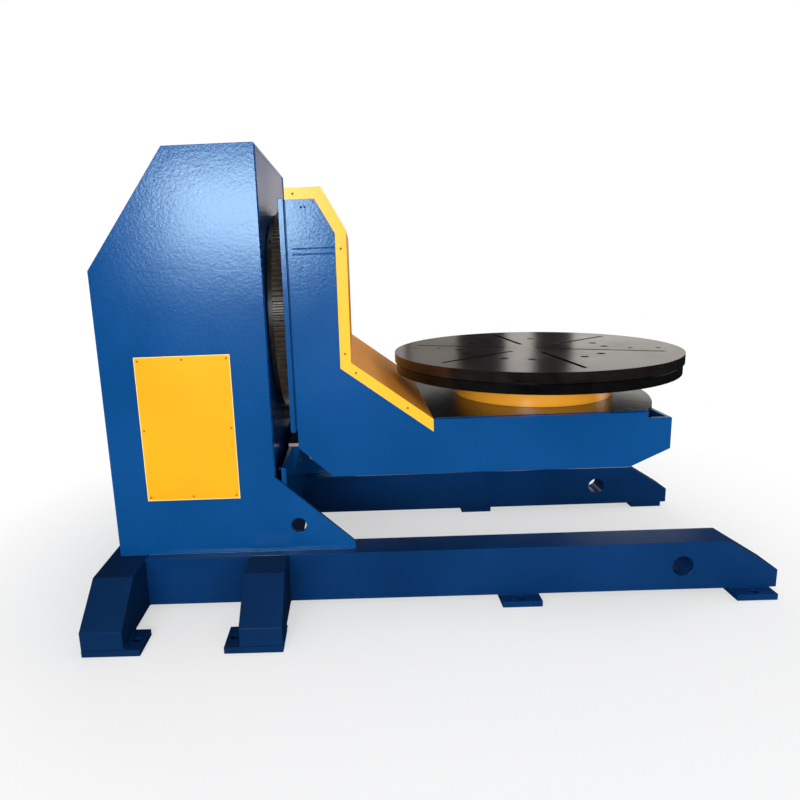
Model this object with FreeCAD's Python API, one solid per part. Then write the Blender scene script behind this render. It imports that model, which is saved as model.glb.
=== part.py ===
"""Welding positioner: headstock column, tilting L-shaped arm and rotary table.

Lengths are in millimetres.  +X runs from the column to the table, +Z is up and the machine
is symmetrical about Y = 0.  Pieces are laid out from the column's front face, and export
moves them so that the origin is on the floor under the middle of the machine.
"""
import FreeCAD, Part
import math
import os

V = FreeCAD.Vector

# ---------------------------------------------------------------- base frame
pad_thickness = 30.0
beam_height = 245.0
beam_width = 155.0
beam_wall = 10.0
beam_outset = 47.5               # beams' outer faces past the column's side plates
beam_reach = 2410.0              # beam nose ahead of the column's front face
nose_slope_length = 235.0
nose_height = 90.0               # upright part of the nose, above the beam's underside
lift_hole_diameter = 100.0
lift_hole_from_nose = 455.0
lift_sleeve_wall = 8.0
leg_width = 190.0
leg_span = 1956.0                # over the outer ends of the legs
leg_flat_span = 1568.0           # over the flat tops of the legs
leg_tip_height = 88.0            # upright part of a leg's end, above its underside
rear_leg_back = 840.0            # rear face of the rear leg behind the column's front face
front_leg_ahead = 50.0           # front face of the front leg ahead of the column's front face
foot_length = 158.0
foot_flange = 70.0
side_pad_length = 190.0
side_pad_projection = 65.0
mid_pad_reach = 1170.0
end_pad_from_nose = 128.0
anchor_hole_diameter = 36.0
anchor_edge = 33.0               # anchor hole centre from the pad's outer edge

# ---------------------------------------------------------------- column
column_width = 1136.0
column_depth = 790.0
column_top_depth = 405.0
column_height = 1913.0
column_knee_height = 1390.0
side_plate = 22.0
wall_plate = 20.0
gusset_length = 378.0
gusset_height = 380.0
gusset_tip = 36.0
gusset_hole_diameter = 75.0
gusset_hole_ahead = 104.0
gusset_hole_height = 130.0
panel_back = 620.0
panel_length = 444.0
panel_bottom = 284.0
panel_height = 700.0
panel_thickness = 4.0
panel_overlap = 16.0
panel_screw_inset = 14.0
panel_screw_diameter = 16.0
panel_screw_head = 5.0
apron_ahead = 50.0
ledge_height = 435.0
ledge_thickness = 18.0
ledge_width = 380.0
ledge_gap = 4.0                  # from the ledge to the swinging back plate
rib_height = 150.0
rib_toe_height = 40.0
gland_diameter = 42.0
gland_length = 34.0
gland_bore = 18.0
gland_height = 260.0
column_opening_diameter = 680.0

# ---------------------------------------------------------------- tilt drive
tilt_axis_height = 1410.0
tilt_module = 8.0
tilt_teeth = 130
tilt_pinion_teeth = 13
tilt_race_radius = 455.0
tilt_ring_bore = 800.0
tilt_ring_height = 88.0
tilt_split_height = 33.0
tilt_bolt_count = 12
tilt_bolt_diameter = 20.0
tilt_shaft_diameter = 70.0
tilt_shaft_engagement = 90.0
tilt_reducer_width = 220.0
tilt_reducer_length = 260.0
tilt_reducer_flange_width = 272.0
tilt_reducer_flange_thickness = 18.0
tilt_motor_diameter = 180.0
tilt_motor_length = 270.0
terminal_box_length = 120.0
terminal_box_width = 90.0
terminal_box_height = 68.0
terminal_box_seat = 27.0         # how deep the terminal box sits in the round motor
terminal_box_offset = 40.0       # from the motor's flange

# ---------------------------------------------------------------- L-shaped arm
arm_overhang = 7.5               # arm's side plates past the column's, on each side
arm_plate = 22.0
arm_back_inset = 35.5            # back plate's edge inside the side plate's outer face
arm_back_rise = 538.0
arm_back_drop = 544.0
arm_back_thickness = 25.0
arm_seat_thickness = 11.0
arm_seat_inset = 10.0
arm_rise = 575.0                 # arm's top above the tilt axis
arm_top_length = 158.0
arm_depth = 262.0
arm_shoulder_rise = 388.0
arm_slope_drop = 210.0
platform_drop = 493.0            # platform's top face below the tilt axis
slope_length = 380.0
platform_depth = 265.0
platform_plate = 30.0
heel_length = 157.0
heel_height = 148.0
end_height = 150.0
end_chamfer_length = 182.0
platform_reach = 499.0           # end plate's outer face ahead of the table's axis
top_step = 110.0                 # side plates' raised edge stops this far before the end plate
nose_overhang = 82.0             # rounded end of the top plate past the end plate
seam_before_table = 373.0
cable_opening_diameter = 620.0
web_plate = 16.0
web_gap = 2.0                    # between the upright web and the cover
web_drop = 40.0
web_behind_seam = 80.0
web_ahead_of_ring = 60.0
bolt_head_room = 10.0
platform_opening_diameter = 300.0
cover_thickness = 3.0
cover_flange = 47.0
cover_screw_diameter = 14.0
cover_screw_head = 4.0
cover_top_screw_inset = 36.0
cover_upper_screw_drop = 80.0
cover_lower_screw_rise = 43.0
cover_slope_screw_shares = (0.10, 0.72)
cover_run_out_share = 0.2        # length added past the slope before it is trimmed level

# ---------------------------------------------------------------- rotary table
table_radius = 750.0
table_disc_thickness = 50.0
table_backing_thickness = 53.0
table_backing_step = 8.0
table_groove = 6.0
table_cover_gap = 42.0           # rim to the sloping cover, at the table's underside
slot_count = 6
slot_width = 22.0
slot_head_width = 44.0
slot_head_depth = 20.0
slot_inner_radius = 150.0
slot_outer_radius = 662.0
slot_phase = 35.0
table_bolt_circle_diameter = 780.0
table_bolt_pair_angle = 20.0
table_bolt_diameter = 24.0
table_bolt_head = 38.0
table_bolt_sink = 34.0
eye_hole_radii = (505.0, 640.0)
eye_hole_diameter = 24.0
eye_hole_phase = -14.0
adapter_diameter = 880.0
adapter_thickness = 18.0
guard_diameter = 838.0
guard_wall = 10.0
guard_clearance = 4.0
table_module = 8.0
table_teeth = 70
table_pinion_teeth = 14
table_race_radius = 240.0
table_ring_bore = 380.0
table_ring_height = 115.0
table_split_height = 62.0
table_bolt_ring_count = 12
table_ring_bolt_diameter = 12.0
table_shaft_diameter = 50.0
table_shaft_engagement = 60.0
table_reducer_behind = 80.0
table_reducer_ahead = 120.0
table_reducer_width = 160.0
table_reducer_floor_gap = 30.0
table_motor_diameter = 136.0
table_motor_length = 260.0
table_pinion_direction = 135.0
brush_direction = -45.0
brush_width = 36.0
brush_carbon_width = 24.0
brush_block_share = 0.72         # of the height under the adapter

# ---------------------------------------------------------------- gear and bolt proportions
root_depth = 1.25                # tooth depth inside the pitch circle, in modules
ring_root_share = 0.33           # half tooth widths, as shares of the tooth pitch
ring_tip_share = 0.10
pinion_root_share = 0.30
pinion_tip_share = 0.08
head_across_corners = 1.7        # bolt head sizes, in bolt diameters
head_height = 0.65

# ---------------------------------------------------------------- fits
race_gap = 1.0                   # between the turning rings of a slewing bearing
race_half = 12.0                 # half the height of the V-shaped race
race_depth = 12.0
ring_seat = 8.0                  # a turning ring's end clears the still part by this
shaft_clearance = 0.05           # radial, drive shaft in its reducer
hole_clearance = 1.0             # radial, bolts in clearance holes
brush_gap = 0.5
pinion_side_gap = 6.0
plain_half_step = 2.0            # plain half's rim inside the teeth's roots
shaft_hole_clearance = 8.0       # radial, shafts through plates
shaft_end_gap = 5.0
head_gap = 1.0                   # bolt heads below a bearing's turning face

# ---------------------------------------------------------------- derived places
base_top = pad_thickness + beam_height
column_top = base_top + column_height
platform_top = tilt_axis_height - platform_drop
platform_bottom = platform_top - platform_depth
arm_back_x = tilt_ring_height
arm_front_x = arm_back_x + arm_back_thickness + arm_seat_thickness
table_underside = platform_top + table_ring_height + adapter_thickness
table_face = table_underside + table_backing_thickness + table_disc_thickness
half_column = column_width / 2.0
half_arm = half_column + arm_overhang
half_beams = half_column + beam_outset
shoulder_x = arm_front_x + arm_depth
slope_top = tilt_axis_height - arm_slope_drop
slope_end_x = shoulder_x + slope_length
slope_x_at_table = shoulder_x + slope_length * (slope_top - table_underside) / (slope_top - platform_top)
table_x = slope_x_at_table + table_cover_gap + table_radius
platform_end_x = table_x + platform_reach
tilt_centre_distance = tilt_module * (tilt_teeth + tilt_pinion_teeth) / 2.0
table_centre_distance = table_module * (table_teeth + table_pinion_teeth) / 2.0
tilt_pinion_height = tilt_axis_height - tilt_centre_distance
ledge_reach = tilt_ring_height - ledge_gap
middle_x = (beam_reach - rear_leg_back) / 2.0


def box(x0, x1, y0, y1, z0, z1):
    """Box between two opposite corners."""
    return Part.makeBox(x1 - x0, y1 - y0, z1 - z0, V(x0, y0, z0))


def cylinder(radius, length, start, direction=V(0, 0, 1)):
    """Cylinder that starts at a point and runs along a direction."""
    return Part.makeCylinder(radius, length, start, direction)


def tube(outer_radius, inner_radius, length, start, direction=V(0, 0, 1)):
    """Hollow cylinder."""
    return cylinder(outer_radius, length, start, direction).cut(
        cylinder(inner_radius, length, start, direction))


def side_profile(points, y0, y1):
    """Prism across the machine from an outline of (x, z) points."""
    outline = [V(x, y0, z) for x, z in points]
    return Part.Face(Part.makePolygon(outline + outline[:1])).extrude(V(0, y1 - y0, 0))


def end_profile(points, x0, x1):
    """Prism along the machine from an outline of (y, z) points."""
    outline = [V(x0, y, z) for y, z in points]
    return Part.Face(Part.makePolygon(outline + outline[:1])).extrude(V(x1 - x0, 0, 0))


def revolved(points):
    """Solid of revolution about Z from an outline of (radius, z) points."""
    outline = [V(r, 0, z) for r, z in points]
    return Part.Face(Part.makePolygon(outline + outline[:1])).revolve(V(0, 0, 0), V(0, 0, 1), 360)


def offset_path(points, distance):
    """Points of a path moved sideways to its left, with mitred corners."""
    normals = []
    for (x0, z0), (x1, z1) in zip(points, points[1:]):
        length = math.hypot(x1 - x0, z1 - z0)
        normals.append(((z0 - z1) / length, (x1 - x0) / length))
    moved = []
    for index, (x, z) in enumerate(points):
        before = normals[max(index - 1, 0)]
        after = normals[min(index, len(normals) - 1)]
        scale = distance / (1.0 + before[0] * after[0] + before[1] * after[1])
        moved.append((x + (before[0] + after[0]) * scale, z + (before[1] + after[1]) * scale))
    return moved


def strip(points, distance, y0, y1):
    """Sheet that follows a path, as thick as the distance to the path's left."""
    return side_profile(points + offset_path(points, distance)[::-1], y0, y1)


def mirrored(shape):
    """The same piece on the other side of the machine."""
    return shape.mirror(V(0, 0, 0), V(0, 1, 0))


def pair(shape):
    """A piece and its mirror image as two separate solids."""
    return Part.Compound([shape, mirrored(shape)])


def polar(radius, degrees):
    """Point at an angle on a circle."""
    angle = math.radians(degrees)
    return radius * math.cos(angle), radius * math.sin(angle)


def gear(teeth, module, width, bore_radius, phase, root_share, tip_share):
    """Spur gear blank from z = 0 up, with a tooth centred on the phase angle."""
    pitch_angle = 360.0 / teeth
    root_radius = module * teeth / 2.0 - root_depth * module
    tip_radius = module * teeth / 2.0 + module
    outline = []
    for index in range(teeth):
        centre = phase + index * pitch_angle
        for radius, share in ((root_radius, -root_share), (tip_radius, -tip_share),
                              (tip_radius, tip_share), (root_radius, root_share)):
            x, y = polar(radius, centre + share * pitch_angle)
            outline.append(V(x, y, 0))
    blank = Part.Face(Part.makePolygon(outline + outline[:1])).extrude(V(0, 0, width))
    return blank.cut(cylinder(bore_radius, width, V(0, 0, 0))) if bore_radius else blank


def hex_heads(places, across_corners, height, level):
    """Hexagonal bolt heads that stand on a level; the shanks are left out."""
    heads = []
    for x, y in places:
        corners = [V(x + u, y + w, level) for u, w in circle_places(across_corners / 2, 6)]
        heads.append(Part.Face(Part.makePolygon(corners + corners[:1])).extrude(V(0, 0, height)))
    return Part.Compound(heads)


def holes(places, radius, z0, z1):
    """Straight drillings between two levels, to be cut from a piece."""
    return Part.Compound([cylinder(radius, z1 - z0, V(x, y, z0)) for x, y in places])


def circle_places(radius, count, phase=0.0):
    """Evenly spaced places on a circle."""
    return [polar(radius, phase + index * 360.0 / count) for index in range(count)]


def slewing_ring(bore, race, height, split, module, teeth, phase):
    """Inner ring with a V-shaped race, plain half and geared half, standing on z = 0."""
    inner = revolved([(bore, 0), (race, 0), (race, split - race_half), (race + race_depth, split),
                      (race, split + race_half), (race, height - ring_seat), (bore, height - ring_seat)])
    root_radius = module * teeth / 2.0 - root_depth * module - plain_half_step
    near, far = race + race_gap, race + race_depth + race_gap
    plain = revolved([(near, ring_seat), (root_radius, ring_seat), (root_radius, split),
                      (far, split), (near, split - race_half)])
    geared = gear(teeth, module, height - split, near, phase, ring_root_share, ring_tip_share)
    geared.translate(V(0, 0, split))
    cone = Part.makeCone(far, near, race_half, V(0, 0, split), V(0, 0, 1))
    return inner, plain, geared.cut(cone)


def drive_shaft_pinion(teeth, module, width, phase, shaft_radius, shaft_length):
    """Pinion above z = 0 on a shaft that hangs below it."""
    blank = gear(teeth, module, width, 0.0, phase, pinion_root_share, pinion_tip_share)
    shaft = cylinder(shaft_radius, shaft_length, V(0, 0, -shaft_length))
    return blank.fuse(shaft)


def gear_motor():
    """Square gear reducer below z = 0 with a flange on top, and its motor below that."""
    half, wide = tilt_reducer_width / 2.0, tilt_reducer_flange_width / 2.0
    bore_depth = tilt_shaft_engagement + shaft_end_gap
    flange = box(-wide, wide, -wide, wide, -tilt_reducer_flange_thickness, 0)
    bore = cylinder(tilt_shaft_diameter / 2 + shaft_clearance, bore_depth, V(0, 0, -bore_depth))
    body = box(-half, half, -half, half, -tilt_reducer_length, 0)
    reducer = flange.fuse(body).cut(bore).removeSplitter()
    radius = tilt_motor_diameter / 2.0
    motor = cylinder(radius, tilt_motor_length, V(0, 0, -tilt_reducer_length - tilt_motor_length))
    seat, top = radius - terminal_box_seat, -tilt_reducer_length - terminal_box_offset
    terminals = box(seat, seat + terminal_box_height, -terminal_box_width / 2, terminal_box_width / 2,
                    top - terminal_box_length, top)
    return reducer, motor.fuse(terminals)


def to_tilt_axis(shape):
    """Move a piece built about Z onto the tilt axis, with its +Z turned to +X."""
    placed = shape.copy()
    placed.rotate(V(0, 0, 0), V(0, 1, 0), 90)
    placed.translate(V(0, 0, tilt_axis_height))
    return placed


def to_table_axis(shape, level):
    """Move a piece built about Z onto the table's axis."""
    placed = shape.copy()
    placed.translate(V(table_x, 0, level))
    return placed


# ---------------------------------------------------------------- base frame pieces
def outrigger_beam():
    """Box beam on the near side, with a sloping nose and a sleeved lifting hole."""
    rear = -(rear_leg_back - leg_width)
    shoulder = pad_thickness + nose_height

    def outline(inset):
        return [(rear + inset, pad_thickness + inset), (beam_reach - inset, pad_thickness + inset),
                (beam_reach - inset, shoulder - inset / 2), (beam_reach - nose_slope_length - inset / 2,
                                                             base_top - inset),
                (rear + inset, base_top - inset)]
    outer_y, inner_y = -half_beams, -half_beams + beam_width
    beam = side_profile(outline(0.0), outer_y, inner_y)
    beam = beam.cut(side_profile(outline(beam_wall), outer_y + beam_wall, inner_y - beam_wall))
    centre = V(beam_reach - lift_hole_from_nose, outer_y, pad_thickness + beam_height / 2)
    hole_radius = lift_hole_diameter / 2
    beam = beam.fuse(cylinder(hole_radius + lift_sleeve_wall, beam_width, centre, V(0, 1, 0)))
    return beam.cut(cylinder(hole_radius, beam_width, centre, V(0, 1, 0)))


def leg_outline(inner_y):
    """Outline of one leg in (y, z) from a given inner end out to its tip."""
    return [(-inner_y, pad_thickness), (-inner_y, base_top), (-leg_flat_span / 2, base_top),
            (-leg_span / 2, pad_thickness + leg_tip_height), (-leg_span / 2, pad_thickness)]


def rear_cross_leg():
    """Cross member behind the beams that carries the column's rear and ends in two legs."""
    half = leg_outline(0.0)
    mirrored_half = [(-y, z) for y, z in half[2:]][::-1]
    return end_profile(half[2:] + mirrored_half, -rear_leg_back, -rear_leg_back + leg_width)


def front_leg():
    """Leg welded to the outside of the near beam."""
    return end_profile(leg_outline(half_beams), front_leg_ahead - leg_width, front_leg_ahead)


def front_cross_beam():
    """Cross member between the beams under the column's front."""
    inner = half_beams - beam_width
    return box(front_leg_ahead - leg_width, front_leg_ahead, -inner, inner, pad_thickness, base_top)


def foot_plate(x0, x1, anchor_x):
    """Foot plate under a near leg's tip, with its anchor hole."""
    outer = -leg_span / 2
    plate = box(x0, x1, outer, outer + foot_length, 0, pad_thickness)
    return plate.cut(cylinder(anchor_hole_diameter / 2, pad_thickness,
                              V(anchor_x, outer + foot_length / 2, 0)))


def rear_foot_plates():
    """Feet of the rear legs; their flanges point to the front."""
    front = -rear_leg_back + leg_width
    return pair(foot_plate(-rear_leg_back, front + foot_flange, front + foot_flange - anchor_edge))


def front_foot_plates():
    """Feet of the front legs; their flanges point to the rear."""
    rear = front_leg_ahead - leg_width
    return pair(foot_plate(rear - foot_flange, front_leg_ahead, rear - foot_flange + anchor_edge))


def side_pads(centre_x):
    """Pads under both beams that project outward and take one anchor each."""
    outer = -half_beams - side_pad_projection
    pad = box(centre_x - side_pad_length / 2, centre_x + side_pad_length / 2,
              outer, -half_beams + beam_width, 0, pad_thickness)
    return pair(pad.cut(cylinder(anchor_hole_diameter / 2, pad_thickness,
                                 V(centre_x, outer + anchor_edge, 0))))


# ---------------------------------------------------------------- column pieces
def column_side(window):
    """Side plate on the near side with its front gusset; the window is under the panel."""
    outline = [(-column_depth, base_top), (-column_depth, base_top + column_knee_height),
               (-column_top_depth, column_top), (0, column_top), (0, base_top + gusset_height),
               (gusset_length, base_top + gusset_tip), (gusset_length, base_top)]
    plate = side_profile(outline, -half_column, -half_column + side_plate)
    plate = plate.cut(cylinder(gusset_hole_diameter / 2, side_plate,
                               V(gusset_hole_ahead, -half_column, base_top + gusset_hole_height),
                               V(0, 1, 0)))
    if window:
        plate = plate.cut(box(-panel_back + panel_overlap + panel_screw_inset,
                              -panel_back + panel_length - panel_overlap - panel_screw_inset,
                              -half_column, -half_column + side_plate,
                              base_top + panel_bottom + panel_overlap + panel_screw_inset,
                              base_top + panel_bottom + panel_height - panel_overlap
                              - panel_screw_inset))
    return plate


def inside_width():
    """Half the clear width between the column's side plates."""
    return half_column - side_plate


def column_front_plate():
    """Front plate with the cable opening and the drive's opening."""
    inner = inside_width()
    plate = box(-wall_plate, 0, -inner, inner, base_top + wall_plate, column_top - wall_plate)
    opening = cylinder(column_opening_diameter / 2, wall_plate, V(-wall_plate, 0, tilt_axis_height),
                       V(1, 0, 0))
    drive = cylinder(tilt_shaft_diameter / 2 + shaft_hole_clearance, wall_plate,
                     V(-wall_plate, 0, tilt_pinion_height), V(1, 0, 0))
    return plate.cut(opening).cut(drive)


def column_top_plate():
    """Flat top between the side plates."""
    return box(-column_top_depth, 0, -inside_width(), inside_width(),
               column_top - wall_plate, column_top)


def column_slope_plate():
    """Sloping rear plate."""
    path = [(-column_depth, base_top + column_knee_height), (-column_top_depth, column_top)]
    return strip(path, -wall_plate, -inside_width(), inside_width()).cut(
        box(-column_top_depth, 0, -half_column, half_column, 0, column_top)).cut(
        box(-column_depth, -column_depth + wall_plate, -half_column, half_column, 0,
            base_top + column_knee_height))


def column_rear_plate():
    """Upright rear plate with the cable inlet."""
    plate = box(-column_depth, -column_depth + wall_plate, -inside_width(), inside_width(),
                base_top + wall_plate, base_top + column_knee_height)
    return plate.cut(cylinder(gland_bore, wall_plate, gland_place(), V(1, 0, 0)))


def column_base_plate():
    """Bottom plate that is bolted to the frame."""
    return box(-column_depth, 0, -inside_width(), inside_width(), base_top, base_top + wall_plate)


def apron_plate():
    """Plate between the gussets, below the drive's pinion."""
    inner = inside_width()
    return box(apron_ahead - wall_plate, apron_ahead, -inner, inner, base_top,
               base_top + ledge_height - ledge_thickness)


def apron_ledge():
    """Ledge on the apron, under the pinion and behind the swinging back plate."""
    top = base_top + ledge_height
    return box(apron_ahead - wall_plate, ledge_reach, -ledge_width / 2, ledge_width / 2,
               top - ledge_thickness, top)


def apron_ribs():
    """Upright ribs under the ledge's ends."""
    top = base_top + ledge_height - ledge_thickness
    rib = side_profile([(apron_ahead, top), (ledge_reach, top), (ledge_reach, top - rib_toe_height),
                        (apron_ahead, top - rib_height)],
                       -ledge_width / 2, -ledge_width / 2 + web_plate)
    return pair(rib)


def panel_screw_places():
    """Eight screws around the access panel: corners and the middle of each side."""
    x0, x1 = -panel_back + panel_screw_inset, -panel_back + panel_length - panel_screw_inset
    z0 = base_top + panel_bottom + panel_screw_inset
    z1 = base_top + panel_bottom + panel_height - panel_screw_inset
    xm, zm = (x0 + x1) / 2, (z0 + z1) / 2
    return [(x0, z0), (xm, z0), (x1, z0), (x0, zm), (x1, zm), (x0, z1), (xm, z1), (x1, z1)]


def access_panel():
    """Yellow access panel on the near side."""
    return box(-panel_back, -panel_back + panel_length, -half_column - panel_thickness, -half_column,
               base_top + panel_bottom, base_top + panel_bottom + panel_height)


def flush_screws(places, y_face, head_diameter, head_height):
    """Hexagonal screw heads on a face across the machine; the shanks are left out."""
    screws = []
    for x, z in places:
        corners = [V(x + u, y_face, z + w) for u, w in circle_places(head_diameter / 2, 6)]
        screws.append(Part.Face(Part.makePolygon(corners + corners[:1])).extrude(V(0, -head_height, 0)))
    return Part.Compound(screws)


def gland_place():
    """Where the supply cable enters the column."""
    return V(-column_depth, half_column / 2, base_top + gland_height)


def cable_gland():
    """Hexagonal gland for the supply cable, with an open bore."""
    hexagon = [gland_place() + V(0, *polar(gland_diameter / 2, 60.0 * side)) for side in range(6)]
    body = Part.Face(Part.makePolygon(hexagon + hexagon[:1])).extrude(V(-gland_length, 0, 0))
    return body.cut(cylinder(gland_bore / 2, gland_length, gland_place(), V(-1, 0, 0)))


# ---------------------------------------------------------------- tilt bearing and drive
def inner_ring_places():
    """Bolt places that hold the tilt bearing's inner ring to the column."""
    half_step = 180.0 / tilt_bolt_count
    return circle_places((tilt_ring_bore / 2 + tilt_race_radius) / 2, tilt_bolt_count, half_step)


def gear_ring_places():
    """Bolt places that hold the arm to the tilt bearing's geared ring."""
    root_radius = tilt_module * tilt_teeth / 2 - root_depth * tilt_module
    return circle_places((tilt_race_radius + race_depth + root_radius) / 2, tilt_bolt_count)


def tilt_bearing():
    """Inner ring, plain half and geared half, placed on the tilt axis."""
    rings = slewing_ring(tilt_ring_bore / 2, tilt_race_radius, tilt_ring_height,
                         tilt_split_height, tilt_module, tilt_teeth, 0.0)
    return [to_tilt_axis(ring) for ring in rings]


def column_ring_bolts():
    """Bolt heads inside the column that hold the bearing's inner ring."""
    height = tilt_bolt_diameter * head_height
    return to_tilt_axis(hex_heads(inner_ring_places(), tilt_bolt_diameter * head_across_corners,
                                  height, -wall_plate - height))


def arm_ring_bolts():
    """Bolt heads inside the arm that hold it to the geared ring."""
    return to_tilt_axis(hex_heads(gear_ring_places(), tilt_bolt_diameter * head_across_corners,
                                  tilt_bolt_diameter * head_height, arm_front_x + arm_plate))


def tilt_pinion():
    """Pinion and shaft that drive the tilt ring from below."""
    width = tilt_ring_height - tilt_split_height
    shaft_length = tilt_split_height + wall_plate + tilt_shaft_engagement
    phase = 180.0 + 180.0 / tilt_pinion_teeth
    pinion = drive_shaft_pinion(tilt_pinion_teeth, tilt_module, width, phase,
                                tilt_shaft_diameter / 2, shaft_length)
    pinion.rotate(V(0, 0, 0), V(0, 1, 0), 90)
    pinion.translate(V(tilt_split_height, 0, tilt_pinion_height))
    return pinion


def tilt_drive():
    """Reducer and motor inside the column."""
    placed = []
    for shape in gear_motor():
        shape.rotate(V(0, 0, 0), V(0, 1, 0), 90)
        shape.translate(V(-wall_plate, 0, tilt_pinion_height))
        placed.append(shape)
    return placed


# ---------------------------------------------------------------- arm pieces
def cover_path():
    """Outline of the arm's top and front that the cover follows, as (x, z) points."""
    return [(arm_front_x, tilt_axis_height + arm_rise),
            (arm_front_x + arm_top_length, tilt_axis_height + arm_rise),
            (shoulder_x, tilt_axis_height + arm_shoulder_rise), (shoulder_x, slope_top),
            (slope_end_x, platform_top)]


def arm_side():
    """L-shaped side plate on the near side."""
    end_top = platform_top - platform_plate
    outline = cover_path() + [
        (platform_end_x - top_step, platform_top), (platform_end_x - top_step, end_top),
        (platform_end_x, end_top), (platform_end_x, end_top - end_height),
        (platform_end_x - end_chamfer_length, platform_bottom),
        (arm_front_x + heel_length, platform_bottom), (arm_front_x, platform_bottom + heel_height)]
    return side_profile(outline, -half_arm, -half_arm + arm_plate)


def arm_inside():
    """Half the clear width between the arm's side plates."""
    return half_arm - arm_plate


def arm_back_plate():
    """Plate, with a slightly smaller seat, that is bolted to the geared ring."""
    half, inset = half_arm - arm_back_inset, arm_seat_inset
    bottom, top = tilt_axis_height - arm_back_drop, tilt_axis_height + arm_back_rise
    seat_x = arm_back_x + arm_back_thickness
    plate = box(arm_back_x, seat_x, -half, half, bottom, top)
    seat = box(seat_x, arm_front_x, inset - half, half - inset, bottom + inset, top - inset)
    opening = cylinder(cable_opening_diameter / 2, arm_front_x - arm_back_x,
                       V(arm_back_x, 0, tilt_axis_height), V(1, 0, 0))
    return plate.fuse(seat).cut(opening)


def arm_rear_panel():
    """Rear wall between the side plates, open in the middle for cables."""
    inner = arm_inside()
    wall = box(arm_front_x, arm_front_x + arm_plate, -inner, inner,
               platform_bottom + heel_height, tilt_axis_height + arm_rise)
    opening = cylinder(cable_opening_diameter / 2, arm_plate, V(arm_front_x, 0, tilt_axis_height),
                       V(1, 0, 0))
    return wall.cut(opening)


def arm_front_web():
    """Upright stiffener behind the cover, with a lightening hole."""
    x1 = shoulder_x - web_gap
    web = box(x1 - web_plate, x1, -arm_inside(), arm_inside(), platform_top,
              tilt_axis_height + arm_shoulder_rise - web_drop)
    return web.cut(cylinder(cable_opening_diameter / 2, web_plate,
                            V(x1 - web_plate, 0, tilt_axis_height), V(1, 0, 0)))


def heel_plate():
    """Chamfered plate under the arm's heel."""
    path = [(arm_front_x, platform_bottom + heel_height), (arm_front_x + heel_length, platform_bottom)]
    plate = strip(path, wall_plate, -arm_inside(), arm_inside())
    beyond = arm_front_x + heel_length
    keep = plate.cut(box(beyond, beyond + heel_length, -half_arm, half_arm, platform_bottom,
                         platform_top))
    return keep.cut(box(arm_front_x, arm_front_x + arm_plate, -half_arm, half_arm,
                        platform_bottom + heel_height, platform_top))


def bottom_plate():
    """Underside of the platform."""
    return box(arm_front_x + heel_length, platform_end_x - end_chamfer_length, -arm_inside(),
               arm_inside(), platform_bottom, platform_bottom + wall_plate)


def chamfer_plate():
    """Sloping plate under the platform's end."""
    end_bottom = platform_top - platform_plate - end_height
    path = [(platform_end_x - end_chamfer_length, platform_bottom), (platform_end_x, end_bottom)]
    plate = strip(path, wall_plate, -arm_inside(), arm_inside())
    plate = plate.cut(box(0, platform_end_x - end_chamfer_length, -half_arm, half_arm,
                          platform_bottom, platform_top))
    return plate.cut(box(platform_end_x - wall_plate, platform_end_x + wall_plate, -half_arm,
                         half_arm, end_bottom, platform_top))


def end_plate():
    """Upright end of the platform."""
    end_top = platform_top - platform_plate
    return box(platform_end_x - wall_plate, platform_end_x, -arm_inside(), arm_inside(),
               end_top - end_height, end_top)


def platform_rear_plate():
    """Rear part of the platform's top, up to the seam."""
    bolt_room = tilt_bolt_diameter + bolt_head_room
    return box(arm_front_x + arm_plate + bolt_room, table_x - seam_before_table, -arm_inside(),
               arm_inside(), platform_top - platform_plate, platform_top)


def platform_top_plate():
    """Front part of the platform's top, with a rounded end and the drive openings."""
    inner = arm_inside()
    rear_x = table_x - seam_before_table
    step_x = platform_end_x - top_step
    level = platform_top - platform_plate
    tip = V(platform_end_x + nose_overhang, 0, level)
    corners = [V(step_x, -inner, level), V(rear_x, -inner, level), V(rear_x, inner, level),
               V(step_x, inner, level)]
    straight = [Part.makeLine(a, b) for a, b in zip(corners, corners[1:])]
    rounded = Part.Arc(corners[3], tip, corners[0]).toShape()
    plate = Part.Face(Part.Wire(straight + [rounded])).extrude(V(0, 0, platform_plate))
    plate = plate.cut(to_table_axis(holes([(0, 0)], platform_opening_diameter / 2, 0, platform_plate),
                                    level))
    shaft_hole = holes([polar(table_centre_distance, table_pinion_direction)],
                       table_shaft_diameter / 2 + shaft_hole_clearance, 0, platform_plate)
    return plate.cut(to_table_axis(shaft_hole, level))


def platform_webs():
    """Cross webs inside the platform, ahead of and behind the table drive."""
    webs = []
    for x in (table_x - seam_before_table - web_behind_seam,
              table_x + table_ring_bore / 2 + web_ahead_of_ring):
        webs.append(box(x, x + web_plate, -arm_inside(), arm_inside(), platform_bottom + wall_plate,
                        platform_top - platform_plate))
    return Part.Compound(webs)


def cover_screw_places():
    """Screws in the cover's near flange: top, upright, bend and slope."""
    inset = cover_flange / 2
    upright_x = shoulder_x - inset
    slope_rise = slope_top - platform_top
    slope = math.hypot(slope_length, slope_rise)
    along, across = (slope_length / slope, -slope_rise / slope), (-slope_rise / slope,
                                                                 -slope_length / slope)
    places = [(arm_front_x + cover_top_screw_inset, tilt_axis_height + arm_rise - inset),
              (upright_x, tilt_axis_height + arm_shoulder_rise - cover_upper_screw_drop),
              (upright_x, slope_top + cover_lower_screw_rise)]
    for share in cover_slope_screw_shares:
        places.append((shoulder_x + along[0] * slope * share + across[0] * inset,
                       slope_top + along[1] * slope * share + across[1] * inset))
    return places


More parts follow.
